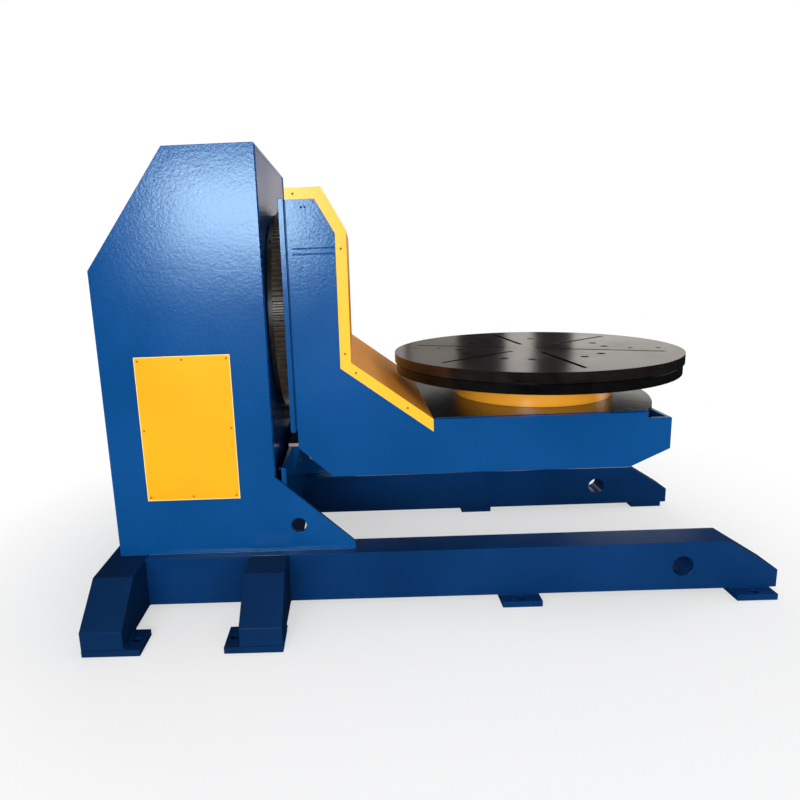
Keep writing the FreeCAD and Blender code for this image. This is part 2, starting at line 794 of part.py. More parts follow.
def arm_cover():
    """Folded sheet over the arm's top and front, with a flange down each side."""
    path = cover_path()
    end = path[-1]
    extra_x, extra_z = slope_length * cover_run_out_share, (slope_top - platform_top) * cover_run_out_share
    long_path = path[:-1] + [(end[0] + extra_x, end[1] - extra_z)]
    outer = half_arm + cover_thickness
    sheet = strip(long_path, cover_thickness, -outer, outer)
    flange = strip(long_path, -cover_flange, -outer, -half_arm)
    room = box(0, slope_end_x, -outer, outer, 0, column_top)
    floor = box(0, slope_end_x, -half_arm, half_arm, 0, platform_top)
    return sheet.fuse(flange).fuse(mirrored(flange)).common(room).cut(floor).removeSplitter()


def arm_cover_screws():
    """Screws of both flanges."""
    face = -half_arm - cover_thickness
    return pair(flush_screws(cover_screw_places(), face, cover_screw_diameter, cover_screw_head))


# ---------------------------------------------------------------- table pieces
def table_inner_places():
    """Bolt places that hold the table bearing's inner ring to the platform."""
    return circle_places((table_ring_bore / 2 + table_race_radius) / 2, table_bolt_ring_count)


def table_bearing():
    """Inner ring, plain half and geared half, placed on the table's axis."""
    rings = slewing_ring(table_ring_bore / 2, table_race_radius, table_ring_height,
                         table_split_height, table_module, table_teeth, table_pinion_direction)
    return [to_table_axis(ring, platform_top) for ring in rings]


def platform_ring_bolts():
    """Bolt heads on the table bearing's inner ring."""
    across = table_ring_bolt_diameter * head_across_corners
    return to_table_axis(hex_heads(table_inner_places(), across, ring_seat - head_gap,
                                   table_ring_height - ring_seat), platform_top)


def table_bolt_places():
    """Pairs of bolts between the table's slots."""
    places = []
    for index in range(slot_count):
        middle = slot_phase + (index + 0.5) * 360.0 / slot_count
        for side in (-0.5, 0.5):
            places.append(polar(table_bolt_circle_diameter / 2, middle + side * table_bolt_pair_angle))
    return places


def adapter_plate():
    """Flange plate between the geared ring and the table."""
    plate = cylinder(adapter_diameter / 2, adapter_thickness, V(0, 0, 0))
    return to_table_axis(plate, table_underside - adapter_thickness)


def radial_bar(width, inner_radius, outer_radius, degrees, z0, z1):
    """Bar with rounded ends along a radius, used to cut a slot."""
    bar = box(inner_radius, outer_radius, -width / 2, width / 2, z0, z1)
    for radius in (inner_radius, outer_radius):
        bar = bar.fuse(cylinder(width / 2, z1 - z0, V(radius, 0, z0)))
    bar.rotate(V(0, 0, 0), V(0, 0, 1), degrees)
    return bar


def table_plate():
    """Machined top disc with radial slots, sunk bolt holes and eyebolt holes."""
    disc = cylinder(table_radius, table_disc_thickness, V(0, 0, 0))
    end = slot_width / 2
    for index in range(slot_count):
        disc = disc.cut(radial_bar(slot_width, slot_inner_radius + end, slot_outer_radius - end,
                                   slot_phase + index * 360.0 / slot_count, 0, table_disc_thickness))
    disc = disc.cut(holes(table_bolt_places(), table_bolt_head / 2 + hole_clearance,
                          table_disc_thickness - table_bolt_sink, table_disc_thickness))
    eyes = [polar(radius, eye_hole_phase + turn) for radius in eye_hole_radii for turn in (0.0, 180.0)]
    disc = disc.cut(holes(eyes, eye_hole_diameter / 2, 0, table_disc_thickness))
    return to_table_axis(disc, table_underside + table_backing_thickness)


def table_backing_disc():
    """Backing disc under the top disc, with a rim groove and room for the slot bolts' heads."""
    outer = table_radius - table_backing_step
    inner, shoulder = outer - table_groove, table_backing_thickness - table_groove
    disc = revolved([(0, 0), (outer, 0), (outer, shoulder), (inner, shoulder),
                     (inner, table_backing_thickness), (0, table_backing_thickness)])
    half = slot_head_width / 2
    for index in range(slot_count):
        room = box(slot_inner_radius - half, slot_outer_radius + half, -half, half,
                   table_backing_thickness - slot_head_depth, table_backing_thickness)
        room.rotate(V(0, 0, 0), V(0, 0, 1), slot_phase + index * 360.0 / slot_count)
        disc = disc.cut(room)
    return to_table_axis(disc, table_underside)


def table_bolts():
    """Heads of the twelve bolts sunk in the table's face."""
    return to_table_axis(hex_heads(table_bolt_places(), table_bolt_head, table_bolt_diameter,
                                   table_face - table_bolt_sink), 0)


def guard_ring():
    """Yellow guard around the table's bearing and pinion."""
    height = table_ring_height - guard_clearance
    return to_table_axis(tube(guard_diameter / 2, guard_diameter / 2 - guard_wall, height,
                              V(0, 0, 0)), platform_top)


def at_table_pinion(shape, level):
    """Move a piece onto the table pinion's axis."""
    x, y = polar(table_centre_distance, table_pinion_direction)
    shape.translate(V(table_x + x, y, level))
    return shape


def table_pinion():
    """Pinion and shaft that turn the table."""
    width = table_ring_height - table_split_height - pinion_side_gap
    shaft_length = table_split_height + platform_plate + table_shaft_engagement
    phase = table_pinion_direction + 180.0 + 180.0 / table_pinion_teeth
    pinion = drive_shaft_pinion(table_pinion_teeth, table_module, width, phase,
                                table_shaft_diameter / 2, shaft_length)
    return at_table_pinion(pinion, platform_top + table_split_height)


def table_drive():
    """Right-angle reducer under the platform's top, and its motor lying beside it."""
    level = platform_top - platform_plate
    depth = platform_depth - platform_plate - wall_plate - table_reducer_floor_gap
    half, bore_depth = table_reducer_width / 2, table_shaft_engagement + shaft_end_gap
    reducer = box(-table_reducer_behind, table_reducer_ahead, -half, half, -depth, 0)
    reducer = reducer.cut(cylinder(table_shaft_diameter / 2 + shaft_clearance, bore_depth,
                                   V(0, 0, -bore_depth)))
    motor = cylinder(table_motor_diameter / 2, table_motor_length,
                     V(table_reducer_ahead, 0, -depth / 2), V(1, 0, 0))
    return [at_table_pinion(shape, level) for shape in (reducer, motor)]


def earth_brush():
    """Holder of the welding-current brush under the adapter."""
    centre = (adapter_diameter / 2 + table_module * table_teeth / 2) / 2
    height = table_ring_height - brush_gap
    half, carbon_half = brush_width / 2, brush_carbon_width / 2
    block_top = height * brush_block_share
    block = box(centre - half, centre + half, -brush_width, brush_width, 0, block_top)
    carbon = box(centre - carbon_half, centre + carbon_half, -half, half, block_top, height)
    holder = block.fuse(carbon)
    holder.rotate(V(0, 0, 0), V(0, 0, 1), brush_direction)
    return to_table_axis(holder, platform_top)


# ---------------------------------------------------------------- all pieces by name
def base_pieces():
    """Everything that stands still."""
    beam, leg = outrigger_beam(), front_leg()
    inner_ring, _, _ = tilt_bearing()
    reducer, motor = tilt_drive()
    return {
        "near_outrigger_beam": beam, "far_outrigger_beam": mirrored(beam),
        "rear_cross_leg": rear_cross_leg(), "front_cross_beam": front_cross_beam(),
        "near_front_leg": leg, "far_front_leg": mirrored(leg),
        "rear_foot_plates": rear_foot_plates(), "front_foot_plates": front_foot_plates(),
        "middle_pads": side_pads(mid_pad_reach),
        "end_pads": side_pads(beam_reach - end_pad_from_nose),
        "column_near_side": column_side(True), "column_far_side": mirrored(column_side(False)),
        "column_front_plate": column_front_plate(), "column_top_plate": column_top_plate(),
        "column_slope_plate": column_slope_plate(), "column_rear_plate": column_rear_plate(),
        "column_base_plate": column_base_plate(), "apron_plate": apron_plate(),
        "apron_ledge": apron_ledge(), "apron_ribs": apron_ribs(),
        "access_panel": access_panel(),
        "access_panel_screws": flush_screws(panel_screw_places(), -half_column - panel_thickness,
                                            panel_screw_diameter, panel_screw_head),
        "cable_gland": cable_gland(), "tilt_bearing_inner_ring": inner_ring,
        "column_ring_bolts": column_ring_bolts(), "tilt_reducer": reducer, "tilt_motor": motor,
    }


def arm_pieces():
    """Everything that tilts but doesn't turn with the table."""
    side = arm_side()
    _, plain, geared = tilt_bearing()
    inner_ring, _, _ = table_bearing()
    reducer, motor = table_drive()
    return {
        "tilt_bearing_half_ring": plain, "tilt_gear_ring": geared, "arm_ring_bolts": arm_ring_bolts(),
        "arm_back_plate": arm_back_plate(), "arm_rear_panel": arm_rear_panel(),
        "arm_near_side": side, "arm_far_side": mirrored(side), "arm_front_web": arm_front_web(),
        "arm_heel_plate": heel_plate(), "platform_bottom_plate": bottom_plate(),
        "platform_chamfer_plate": chamfer_plate(), "platform_end_plate": end_plate(),
        "platform_rear_plate": platform_rear_plate(), "platform_top_plate": platform_top_plate(),
        "platform_webs": platform_webs(), "arm_cover": arm_cover(),
        "arm_cover_screws": arm_cover_screws(), "table_bearing_inner_ring": inner_ring,
        "platform_ring_bolts": platform_ring_bolts(), "table_guard_ring": guard_ring(),
        "table_reducer": reducer, "table_motor": motor, "earth_brush_holder": earth_brush(),
    }


def table_pieces():
    """Everything that turns with the table."""
    _, plain, geared = table_bearing()
    return {
        "table_plate": table_plate(), "table_backing_disc": table_backing_disc(),
        "table_bolts": table_bolts(), "table_adapter_plate": adapter_plate(),
        "table_gear_ring": geared,
        "table_bearing_half_ring": plain,
    }


def export(pieces):
    """Write one STEP file per piece, with the origin under the middle of the machine."""
    os.makedirs("parts", exist_ok=True)
    for name, shape in pieces.items():
        moved = shape.copy()
        moved.translate(V(-middle_x, 0, 0))
        moved.exportStep(os.path.join("parts", name + ".step"))


export(base_pieces())
export(arm_pieces())
export(table_pieces())
export({"tilt_pinion": tilt_pinion(), "table_pinion": table_pinion()})
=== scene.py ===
"""Finishes, weld beads and small fittings of a tilting welding positioner, in metres."""
import logging
import math
from dataclasses import dataclass, field
from enum import Enum
from typing import Iterable, Sequence

import bpy
from mathutils import Matrix, Vector


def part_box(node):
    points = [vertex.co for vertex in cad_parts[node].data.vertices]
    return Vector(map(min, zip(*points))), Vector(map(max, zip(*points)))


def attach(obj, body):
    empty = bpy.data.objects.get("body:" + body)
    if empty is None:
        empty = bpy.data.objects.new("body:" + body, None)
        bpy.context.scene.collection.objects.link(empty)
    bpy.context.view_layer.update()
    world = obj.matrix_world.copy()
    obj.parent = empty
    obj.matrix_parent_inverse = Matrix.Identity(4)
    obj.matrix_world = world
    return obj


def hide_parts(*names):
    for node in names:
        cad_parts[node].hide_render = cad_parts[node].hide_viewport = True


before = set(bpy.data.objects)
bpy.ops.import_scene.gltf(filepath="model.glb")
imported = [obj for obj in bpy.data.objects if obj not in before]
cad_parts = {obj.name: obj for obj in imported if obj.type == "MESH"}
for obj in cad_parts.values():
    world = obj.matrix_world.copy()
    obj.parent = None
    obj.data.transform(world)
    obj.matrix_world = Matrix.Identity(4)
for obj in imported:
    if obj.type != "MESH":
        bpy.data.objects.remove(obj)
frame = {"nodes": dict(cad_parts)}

LOG = logging.getLogger("positioner")
Point = tuple[float, float, float]
Colour = tuple[float, float, float, float]
Profile = Sequence[tuple[float, float]]
MeshPart = tuple[list[Point], list[Sequence[int]]]
Tree = bpy.types.NodeTree
Socket = bpy.types.NodeSocket
Material = bpy.types.Material
WHITE: Colour = (1.0, 1.0, 1.0, 1.0)
COOL_SHEEN: Colour = (0.62, 0.82, 1.0, 1.0)
AXIS_RADIUS = 0.0004
SMALL_SEGMENTS = 12


class Body(Enum):
    """The moving groups that added pieces ride on."""

    BASE = "base"
    ARM = "arm"
    TABLE = "table"


class Slot(Enum):
    """Names of material slots for the added pieces."""

    BLUE = "blue"
    YELLOW = "yellow"
    FASTENER = "fastener"
    GLAND = "gland"


class SocketKind(Enum):
    """Kinds of socket that a node group has."""

    COLOUR = "NodeSocketColor"
    NUMBER = "NodeSocketFloat"
    VECTOR = "NodeSocketVector"


# ---------------------------------------------------------------- node helpers
def feed(tree: Tree, socket: Socket, value: object) -> None:
    """Link an input to a socket, or set it to a plain value.

    Args:
        tree: The tree that holds the node.
        socket: The input.
        value: An output socket or a plain value.
    """
    if isinstance(value, Socket):
        tree.links.new(value, socket)
    else:
        socket.default_value = value


def fill(tree: Tree, made: bpy.types.Node, **inputs: object) -> None:
    """Link or set several inputs of a node.

    Args:
        tree: The tree that holds the node.
        made: The node.
        inputs: Sockets or plain values by input name, with underscores for spaces.
    """
    for name, value in inputs.items():
        feed(tree, made.inputs[name.replace("_", " ")], value)


def node(tree: Tree, kind: str, **inputs: object) -> bpy.types.Node:
    """Add a node and link or set its inputs.

    Args:
        tree: The tree that the node goes into.
        kind: The node's type name.
        inputs: Sockets or plain values by input name, with underscores for spaces.

    Returns:
        The new node.
    """
    made = tree.nodes.new(kind)
    fill(tree, made, **inputs)
    return made


def reckon(tree: Tree, operation: str, *terms: object, clamp: bool = False) -> Socket:
    """Add a Math node.

    Args:
        tree: The tree that the node goes into.
        operation: What is done with the terms.
        terms: Sockets or numbers, in the node's order.
        clamp: True to keep the result between 0 and 1.

    Returns:
        The result.
    """
    made = tree.nodes.new("ShaderNodeMath")
    made.operation = operation
    made.use_clamp = clamp
    for socket, term in zip(made.inputs, terms):
        feed(tree, socket, term)
    return made.outputs["Value"]


def reckon_vectors(tree: Tree, operation: str, *terms: object) -> bpy.types.Node:
    """Add a Vector Math node.

    Args:
        tree: The tree that the node goes into.
        operation: What is done with the terms.
        terms: Sockets or vectors, in the node's order.

    Returns:
        The new node.
    """
    made = tree.nodes.new("ShaderNodeVectorMath")
    made.operation = operation
    for socket, term in zip(made.inputs, terms):
        feed(tree, socket, term)
    return made


def remap(tree: Tree, value: Socket, source: tuple[float, float],
          target: tuple[float, float] = (0.0, 1.0), smooth: bool = False) -> Socket:
    """Add a Map Range node.

    Args:
        tree: The tree that the node goes into.
        value: What is mapped.
        source: Start and end of the range that it comes from.
        target: Start and end of the range that it goes to.
        smooth: True for soft ends.

    Returns:
        The result.
    """
    made = tree.nodes.new("ShaderNodeMapRange")
    made.interpolation_type = "SMOOTHSTEP" if smooth else "LINEAR"
    fill(tree, made, Value=value, From_Min=source[0], From_Max=source[1], To_Min=target[0],
         To_Max=target[1])
    return made.outputs["Result"]


def noise(tree: Tree, place: Socket, scale: object, detail: float = 2.0, roughness: float = 0.5,
          distortion: float = 0.0) -> Socket:
    """Add a Noise Texture node.

    Args:
        tree: The tree that the node goes into.
        place: The coordinates.
        scale: Socket or number for the size of the pattern.
        detail: How many finer layers it has.
        roughness: Weight of the finer layers.
        distortion: How far the pattern is stirred.

    Returns:
        The pattern's value.
    """
    return node(tree, "ShaderNodeTexNoise", Vector=place, Scale=scale, Detail=detail,
                Roughness=roughness, Distortion=distortion).outputs["Fac"]


def blend(tree: Tree, factor: Socket, first: Socket, second: Socket) -> Socket:
    """Add a colour Mix node.

    Args:
        tree: The tree that the node goes into.
        factor: Share of the second colour.
        first: First colour.
        second: Second colour.

    Returns:
        The mixed colour.
    """
    made = tree.nodes.new("ShaderNodeMix")
    made.data_type = "RGBA"
    fill(tree, made, Factor=factor, A=first, B=second)
    return made.outputs["Result"]


def mix_shaders(tree: Tree, factor: Socket, first: Socket, second: Socket) -> Socket:
    """Add a Mix Shader node.

    Args:
        tree: The tree that the node goes into.
        factor: Share of the second shader.
        first: First shader.
        second: Second shader.

    Returns:
        The mixed shader.
    """
    made = tree.nodes.new("ShaderNodeMixShader")
    for socket, value in zip(made.inputs, (factor, first, second)):
        feed(tree, socket, value)
    return made.outputs["Shader"]


def group_shell(name: str, inputs: Sequence[tuple[str, SocketKind, object]],
                outputs: Sequence[tuple[str, SocketKind]]
                ) -> tuple[Tree, bpy.types.Node, bpy.types.Node]:
    """Start a shader node group with named sockets.

    Args:
        name: The group's name.
        inputs: Name, kind and default of each input.
        outputs: Name and kind of each output.

    Returns:
        The group, its input node and its output node.
    """
    group = bpy.data.node_groups.new(name, "ShaderNodeTree")
    for label, kind, value in inputs:
        made = group.interface.new_socket(label, in_out="INPUT", socket_type=kind.value)
        made.default_value = value
    for label, kind in outputs:
        group.interface.new_socket(label, in_out="OUTPUT", socket_type=kind.value)
    return group, group.nodes.new("NodeGroupInput"), group.nodes.new("NodeGroupOutput")


def make_mottle_group() -> Tree:
    """Build the paint mottle group: cloudy colour, uneven gloss and orange peel.

    Returns:
        The node group, with Color, Roughness and Height outputs.
    """
    fleck_share, gloss_spread, wave_scale, wave_share = 0.4, 0.16, 9.0, 1.2
    group, given, result = group_shell(
        "PaintMottle",
        [("Deep", SocketKind.COLOUR, (0.01, 0.05, 0.2, 1)),
         ("Pale", SocketKind.COLOUR, (0.02, 0.1, 0.3, 1)),
         ("Cloud Scale", SocketKind.NUMBER, 1.6), ("Peel Scale", SocketKind.NUMBER, 75.0),
         ("Gloss", SocketKind.NUMBER, 0.22)],
        [("Color", SocketKind.COLOUR), ("Roughness", SocketKind.NUMBER),
         ("Height", SocketKind.NUMBER)])
    place = node(group, "ShaderNodeTexCoord").outputs["Object"]
    cloud = noise(group, place, given.outputs["Cloud Scale"])
    peel = noise(group, place, given.outputs["Peel Scale"])
    wave = noise(group, place, wave_scale)
    spread = remap(group, cloud, (0.1, 0.9), (-0.1, 0.75), smooth=True)
    flecked = reckon(group, "MULTIPLY_ADD", peel, fleck_share, spread)
    fill(group, result,
         Color=blend(group, flecked, given.outputs["Deep"], given.outputs["Pale"]),
         Roughness=reckon(group, "MULTIPLY_ADD", cloud, gloss_spread, given.outputs["Gloss"]),
         Height=reckon(group, "MULTIPLY_ADD", wave, wave_share, peel))
    return group


def make_dust_group() -> Tree:
    """Build the dust group: a mask that grows on upward faces and near the floor.

    Returns:
        The node group, with Color and Roughness outputs.
    """
    floor_reach, dust_roughness = 0.28, 0.5
    group, given, result = group_shell(
        "ShopDust",
        [("Color", SocketKind.COLOUR, (0.1, 0.1, 0.1, 1)),
         ("Dust", SocketKind.COLOUR, (0.10, 0.095, 0.085, 1)),
         ("Amount", SocketKind.NUMBER, 0.2), ("Roughness", SocketKind.NUMBER, 0.3)],
        [("Color", SocketKind.COLOUR), ("Roughness", SocketKind.NUMBER)])
    place = node(group, "ShaderNodeTexCoord").outputs
    upward = node(group, "ShaderNodeSeparateXYZ", Vector=place["Normal"]).outputs["Z"]
    height = node(group, "ShaderNodeSeparateXYZ", Vector=place["Object"]).outputs["Z"]
    low = remap(group, height, (floor_reach, 0.0))
    speck = noise(group, place["Object"], 26.0, 6.0, 0.7)
    mask = reckon(group, "MULTIPLY", reckon(group, "MAXIMUM", upward, low),
                  remap(group, speck, (0.45, 0.75)))
    share = reckon(group, "MULTIPLY", mask, given.outputs["Amount"], clamp=True)
    fill(group, result,
         Color=blend(group, share, given.outputs["Color"], given.outputs["Dust"]),
         Roughness=reckon(group, "MULTIPLY_ADD", share, dust_roughness,
                          given.outputs["Roughness"], clamp=True))
    return group


def make_turning_group() -> Tree:
    """Build the machining group: fine rings about an axis, stains and smears.

    Returns:
        The node group, with Color, Roughness and Height outputs.
    """
    group, given, result = group_shell(
        "TurningMarks",
        [("Dark", SocketKind.COLOUR, (0.03, 0.02, 0.02, 1)),
         ("Bright", SocketKind.COLOUR, (0.2, 0.17, 0.15, 1)),
         ("Centre", SocketKind.VECTOR, (0.0, 0.0, 0.0)), ("Ring Scale", SocketKind.NUMBER, 60.0)],
        [("Color", SocketKind.COLOUR), ("Roughness", SocketKind.NUMBER),
         ("Height", SocketKind.NUMBER)])
    place = node(group, "ShaderNodeTexCoord").outputs["Object"]
    centred = reckon_vectors(group, "SUBTRACT", place, given.outputs["Centre"]).outputs["Vector"]
    rings = node(group, "ShaderNodeTexWave", Vector=centred, Scale=given.outputs["Ring Scale"],
                 Distortion=0.3, Detail=2.0)
    rings.wave_type = "RINGS"
    rings.rings_direction = "Z"
    stain = noise(group, centred, 3.2, 6.0, 0.6, 0.8)
    spread = remap(group, stain, (0.35, 0.7))
    fill(group, result,
         Color=blend(group, spread, given.outputs["Dark"], given.outputs["Bright"]),
         Roughness=remap(group, stain, (0.0, 1.0), (0.12, 0.26)), Height=rings.outputs["Fac"])
    return group


@dataclass
class EffectLibrary:
    """The shared shader groups, each built once."""

    mottle: Tree = field(default_factory=make_mottle_group)
    dust: Tree = field(default_factory=make_dust_group)
    turning: Tree = field(default_factory=make_turning_group)


def place_group(tree: Tree, group: Tree, **inputs: object) -> bpy.types.NodeOutputs:
    """Place a shared group in a material.

    Args:
        tree: The material's tree.
        group: The group to place.
        inputs: Sockets or plain values by input name, with underscores for spaces.

    Returns:
        The outputs of the group node.
    """
    made = tree.nodes.new("ShaderNodeGroup")
    made.node_tree = group
    fill(tree, made, **inputs)
    return made.outputs


def blank_material(name: str) -> tuple[Material, bpy.types.Node]:
    """Make a material with only its Principled BSDF.

    Args:
        name: The material's name.

    Returns:
        The material and its shader node.
    """
    material = bpy.data.materials.new(name)
    material.use_nodes = True
    return material, material.node_tree.nodes["Principled BSDF"]


def add_bump(tree: Tree, height: Socket, shader: bpy.types.Node, strength: float,
             distance: float) -> None:
    """Feed a height into the shader's normal.

    Args:
        tree: The material's tree.
        height: The socket with the height.
        shader: The shader that takes the normal.
        strength: Bump strength.
        distance: Bump distance in metres.
    """
    bump = node(tree, "ShaderNodeBump", Height=height, Strength=strength, Distance=distance)
    fill(tree, shader, Normal=bump.outputs["Normal"])


@dataclass(frozen=True)
class PaintFinish:
    """Glossy enamel with orange peel and a little dust."""

    name: str
    deep: Colour
    pale: Colour
    gloss: float = 0.11
    coat: float = 0.1
    coat_roughness: float = 0.18
    peel_strength: float = 0.6
    peel_depth: float = 0.0008
    dust_amount: float = 0.02
    specular: float = 0.8
    specular_tint: Colour = WHITE

    def build(self, effects: EffectLibrary) -> Material:
        """Make the material.

        Args:
            effects: The shared shader groups.

        Returns:
            The finished material.
        """
        material, shader = blank_material(self.name)
        tree = material.node_tree
        paint = place_group(tree, effects.mottle, Deep=self.deep, Pale=self.pale, Gloss=self.gloss)
        dust = place_group(tree, effects.dust, Amount=self.dust_amount, Color=paint["Color"],
                           Roughness=paint["Roughness"])
        fill(tree, shader, Base_Color=dust["Color"], Roughness=dust["Roughness"],
             Specular_IOR_Level=self.specular, Specular_Tint=self.specular_tint,
             Coat_Weight=self.coat, Coat_Roughness=self.coat_roughness)
        add_bump(tree, paint["Height"], shader, self.peel_strength, self.peel_depth)
        return material


@dataclass(frozen=True)
class TurnedFinish:
    """Dark machined steel with rings about the table's axis."""

    name: str
    dark: Colour
    bright: Colour
    centre: Point
    ring_scale: float = 60.0
    ring_strength: float = 0.10
    ring_depth: float = 0.0002
    anisotropy: float = 0.35
    metallic: float = 0.9

    def build(self, effects: EffectLibrary) -> Material:
        """Make the material.

        Args:
            effects: The shared shader groups.

        Returns:
            The finished material.
        """
        material, shader = blank_material(self.name)
        tree = material.node_tree
        marks = place_group(tree, effects.turning, Dark=self.dark, Bright=self.bright,
                            Centre=self.centre, Ring_Scale=self.ring_scale)
        tangent = tree.nodes.new("ShaderNodeTangent")
        tangent.direction_type = "RADIAL"
        tangent.axis = "Z"
        fill(tree, shader, Base_Color=marks["Color"], Roughness=marks["Roughness"],
             Metallic=self.metallic, Anisotropic=self.anisotropy,
             Tangent=tangent.outputs["Tangent"])
        add_bump(tree, marks["Height"], shader, self.ring_strength, self.ring_depth)
        return material


@dataclass(frozen=True)
class GrainedFinish:
    """Finish of a small or greased part, with grain in its colour and gloss."""

    name: str
    deep: Colour
    pale: Colour
    metallic: float
    gloss: float
    cloud_scale: float = 45.0
    grain_scale: float = 320.0
    grain_strength: float = 0.3
    grain_depth: float = 0.0003

    def build(self, effects: EffectLibrary) -> Material:
        """Make the material.

        Args:
            effects: The shared shader groups.

        Returns:
            The finished material.
        """
        material, shader = blank_material(self.name)
        tree = material.node_tree
        grain = place_group(tree, effects.mottle, Deep=self.deep, Pale=self.pale,
                            Cloud_Scale=self.cloud_scale, Peel_Scale=self.grain_scale,
                            Gloss=self.gloss)
        fill(tree, shader, Base_Color=grain["Color"], Roughness=grain["Roughness"],
             Metallic=self.metallic)
        add_bump(tree, grain["Height"], shader, self.grain_strength, self.grain_depth)
        return material


@dataclass
class Finishes:
    """Every material of the machine."""

    effects: EffectLibrary
    table_centre: Point
    blue: Material = field(init=False)
    yellow: Material = field(init=False)
    frame_shaded_blue: Material = field(init=False)
    bed: Material = field(init=False)
    lemon: Material = field(init=False)
    shaded_yellow: Material = field(init=False)
    zinc: Material = field(init=False)
    foot_shaded_blue: Material = field(init=False)
    guard: Material = field(init=False)
    shade: Material = field(init=False)
    pale_pink: Material = field(init=False)
    cream: Material = field(init=False)
    screw: Material = field(init=False)
    table_top: Material = field(init=False)
    table_rim: Material = field(init=False)
    gear: Material = field(init=False)
    bolt: Material = field(init=False)
    drive: Material = field(init=False)
    plastic: Material = field(init=False)

    def __post_init__(self) -> None:
        """Build the materials from their recipes."""
        recipes = {
            "blue": PaintFinish(
                "blue_enamel", (0.0004, 0.044, 0.160, 1), (0.0012, 0.064, 0.232, 1),
                specular_tint=COOL_SHEEN),
            # Darker copy of the blue for the outrigger beams and their beads: painted shade near
            # the floor.
            "frame_shaded_blue": PaintFinish(
                "blue_enamel_frame_painted_shade", (0.0008, 0.018, 0.072, 1), (0.0020, 0.036, 0.140, 1),
                dust_amount=0.03, specular_tint=COOL_SHEEN),
            # Darker still for the legs and foot plates: painted shade that deepens towards the
            # floor.
            "foot_shaded_blue": PaintFinish(
                "blue_enamel_foot_painted_shade", (0.0005, 0.011, 0.044, 1), (0.0012, 0.024, 0.092, 1),
                gloss=0.45, specular=0.15, dust_amount=0.01, specular_tint=COOL_SHEEN),
            "bed": PaintFinish(
                "dark_bed_enamel", (0.009, 0.010, 0.014, 1), (0.018, 0.018, 0.022, 1),
                gloss=0.16, dust_amount=0.05),
            "yellow": PaintFinish(
                "yellow_enamel", (0.86, 0.30, 0.001, 1), (0.90, 0.38, 0.002, 1),
                gloss=0.24, dust_amount=0.05, specular=0.3),
            "guard": PaintFinish(
                "guard_yellow_enamel", (0.95, 0.36, 0.02, 1), (0.98, 0.46, 0.04, 1),
                gloss=0.24, dust_amount=0.04),
            "lemon": PaintFinish(
                "lemon_enamel", (0.80, 0.38, 0.010, 1), (0.84, 0.45, 0.020, 1),
                gloss=0.22, dust_amount=0.05, specular=0.45),
            # Darker orange copy of the cover's yellow for its sheet faces: painted shade under the
            # table.
            "shaded_yellow": PaintFinish(
                "yellow_enamel_painted_shade", (0.62, 0.22, 0.018, 1), (0.80, 0.33, 0.035, 1),
                gloss=0.40, coat=0.12, specular=0.15, dust_amount=0.10),
            # Dark navy for the apron ledge's top and other faces: painted shade.
            "shade": PaintFinish(
                "ledge_painted_shade", (0.004, 0.008, 0.022, 1), (0.006, 0.012, 0.035, 1),
                gloss=0.55, coat=0.0, specular=0.1, dust_amount=0.05),
            # Pale pink for the apron ledge's end faces.
            "pale_pink": PaintFinish(
                "pale_pink_edge", (0.42, 0.30, 0.33, 1), (0.55, 0.42, 0.44, 1),
                gloss=0.5, coat=0.0, dust_amount=0.0),
            "zinc": GrainedFinish(
                "bright_bolt_steel", (0.28, 0.27, 0.26, 1), (0.50, 0.49, 0.47, 1), 0.9, 0.22),
            # Pale yellow for the strip round the access panel: a painted edge highlight.
            "cream": PaintFinish(
                "pale_yellow_edge", (0.93, 0.66, 0.22, 1), (0.97, 0.74, 0.32, 1),
                gloss=0.3, dust_amount=0.05),
            "screw": GrainedFinish(
                "painted_screw", (0.30, 0.13, 0.012, 1), (0.50, 0.24, 0.02, 1), 0.2, 0.3),
            "table_top": TurnedFinish(
                "turned_table_steel", (0.035, 0.026, 0.022, 1), (0.12, 0.10, 0.088, 1),
                self.table_centre),
            "table_rim": TurnedFinish(
                "black_rim_steel", (0.005, 0.005, 0.006, 1), (0.02, 0.019, 0.019, 1),
                self.table_centre, anisotropy=0.3, metallic=0.7),
            "gear": GrainedFinish(
                "greased_gear_steel", (0.035, 0.026, 0.020, 1), (0.10, 0.078, 0.060, 1),
                0.45, 0.22, cloud_scale=22.0, grain_scale=160.0, grain_strength=0.5,
                grain_depth=0.001),
            "bolt": GrainedFinish(
                "black_bolt_steel", (0.02, 0.02, 0.022, 1), (0.06, 0.06, 0.062, 1), 0.8, 0.3),
            "drive": GrainedFinish(
                "grey_drive_paint", (0.11, 0.12, 0.13, 1), (0.16, 0.17, 0.18, 1), 0.0, 0.4),
            "plastic": GrainedFinish(
                "black_gland_plastic", (0.010, 0.010, 0.010, 1), (0.02, 0.02, 0.02, 1),
                0.0, 0.5),
        }
        for name, recipe in recipes.items():
            setattr(self, name, recipe.build(self.effects))


# ---------------------------------------------------------------- mesh helpers
def new_object(name: str, vertices: Iterable[Point], faces: Iterable[Sequence[int]],
               smooth: bool = True) -> bpy.types.Object:
    """Make a mesh object in the scene.

    Args:
        name: Object name.
        vertices: Corner positions in metres.
        faces: Corner indices of each face.
        smooth: True for smooth shading.

    Returns:
        The object.
    """
    mesh = bpy.data.meshes.new(name)
    mesh.from_pydata([tuple(v) for v in vertices], [], [tuple(f) for f in faces])
    mesh.update()
    for polygon in mesh.polygons:
        polygon.use_smooth = smooth
    made = bpy.data.objects.new(name, mesh)
    bpy.context.scene.collection.objects.link(made)
    return made


def join_parts(name: str, parts: Sequence[MeshPart], smooth: bool = True) -> bpy.types.Object:
    """Join several vertex and face lists in one object.

    Args:
        name: Object name.
        parts: Vertices and faces of each part.
        smooth: True for smooth shading.

    Returns:
        The object.
    """
    vertices: list[Point] = []
    faces: list[Sequence[int]] = []
    for points, polygons in parts:
        start = len(vertices)
        vertices.extend(points)
        faces.extend([[start + index for index in polygon] for polygon in polygons])
    return new_object(name, vertices, faces, smooth)


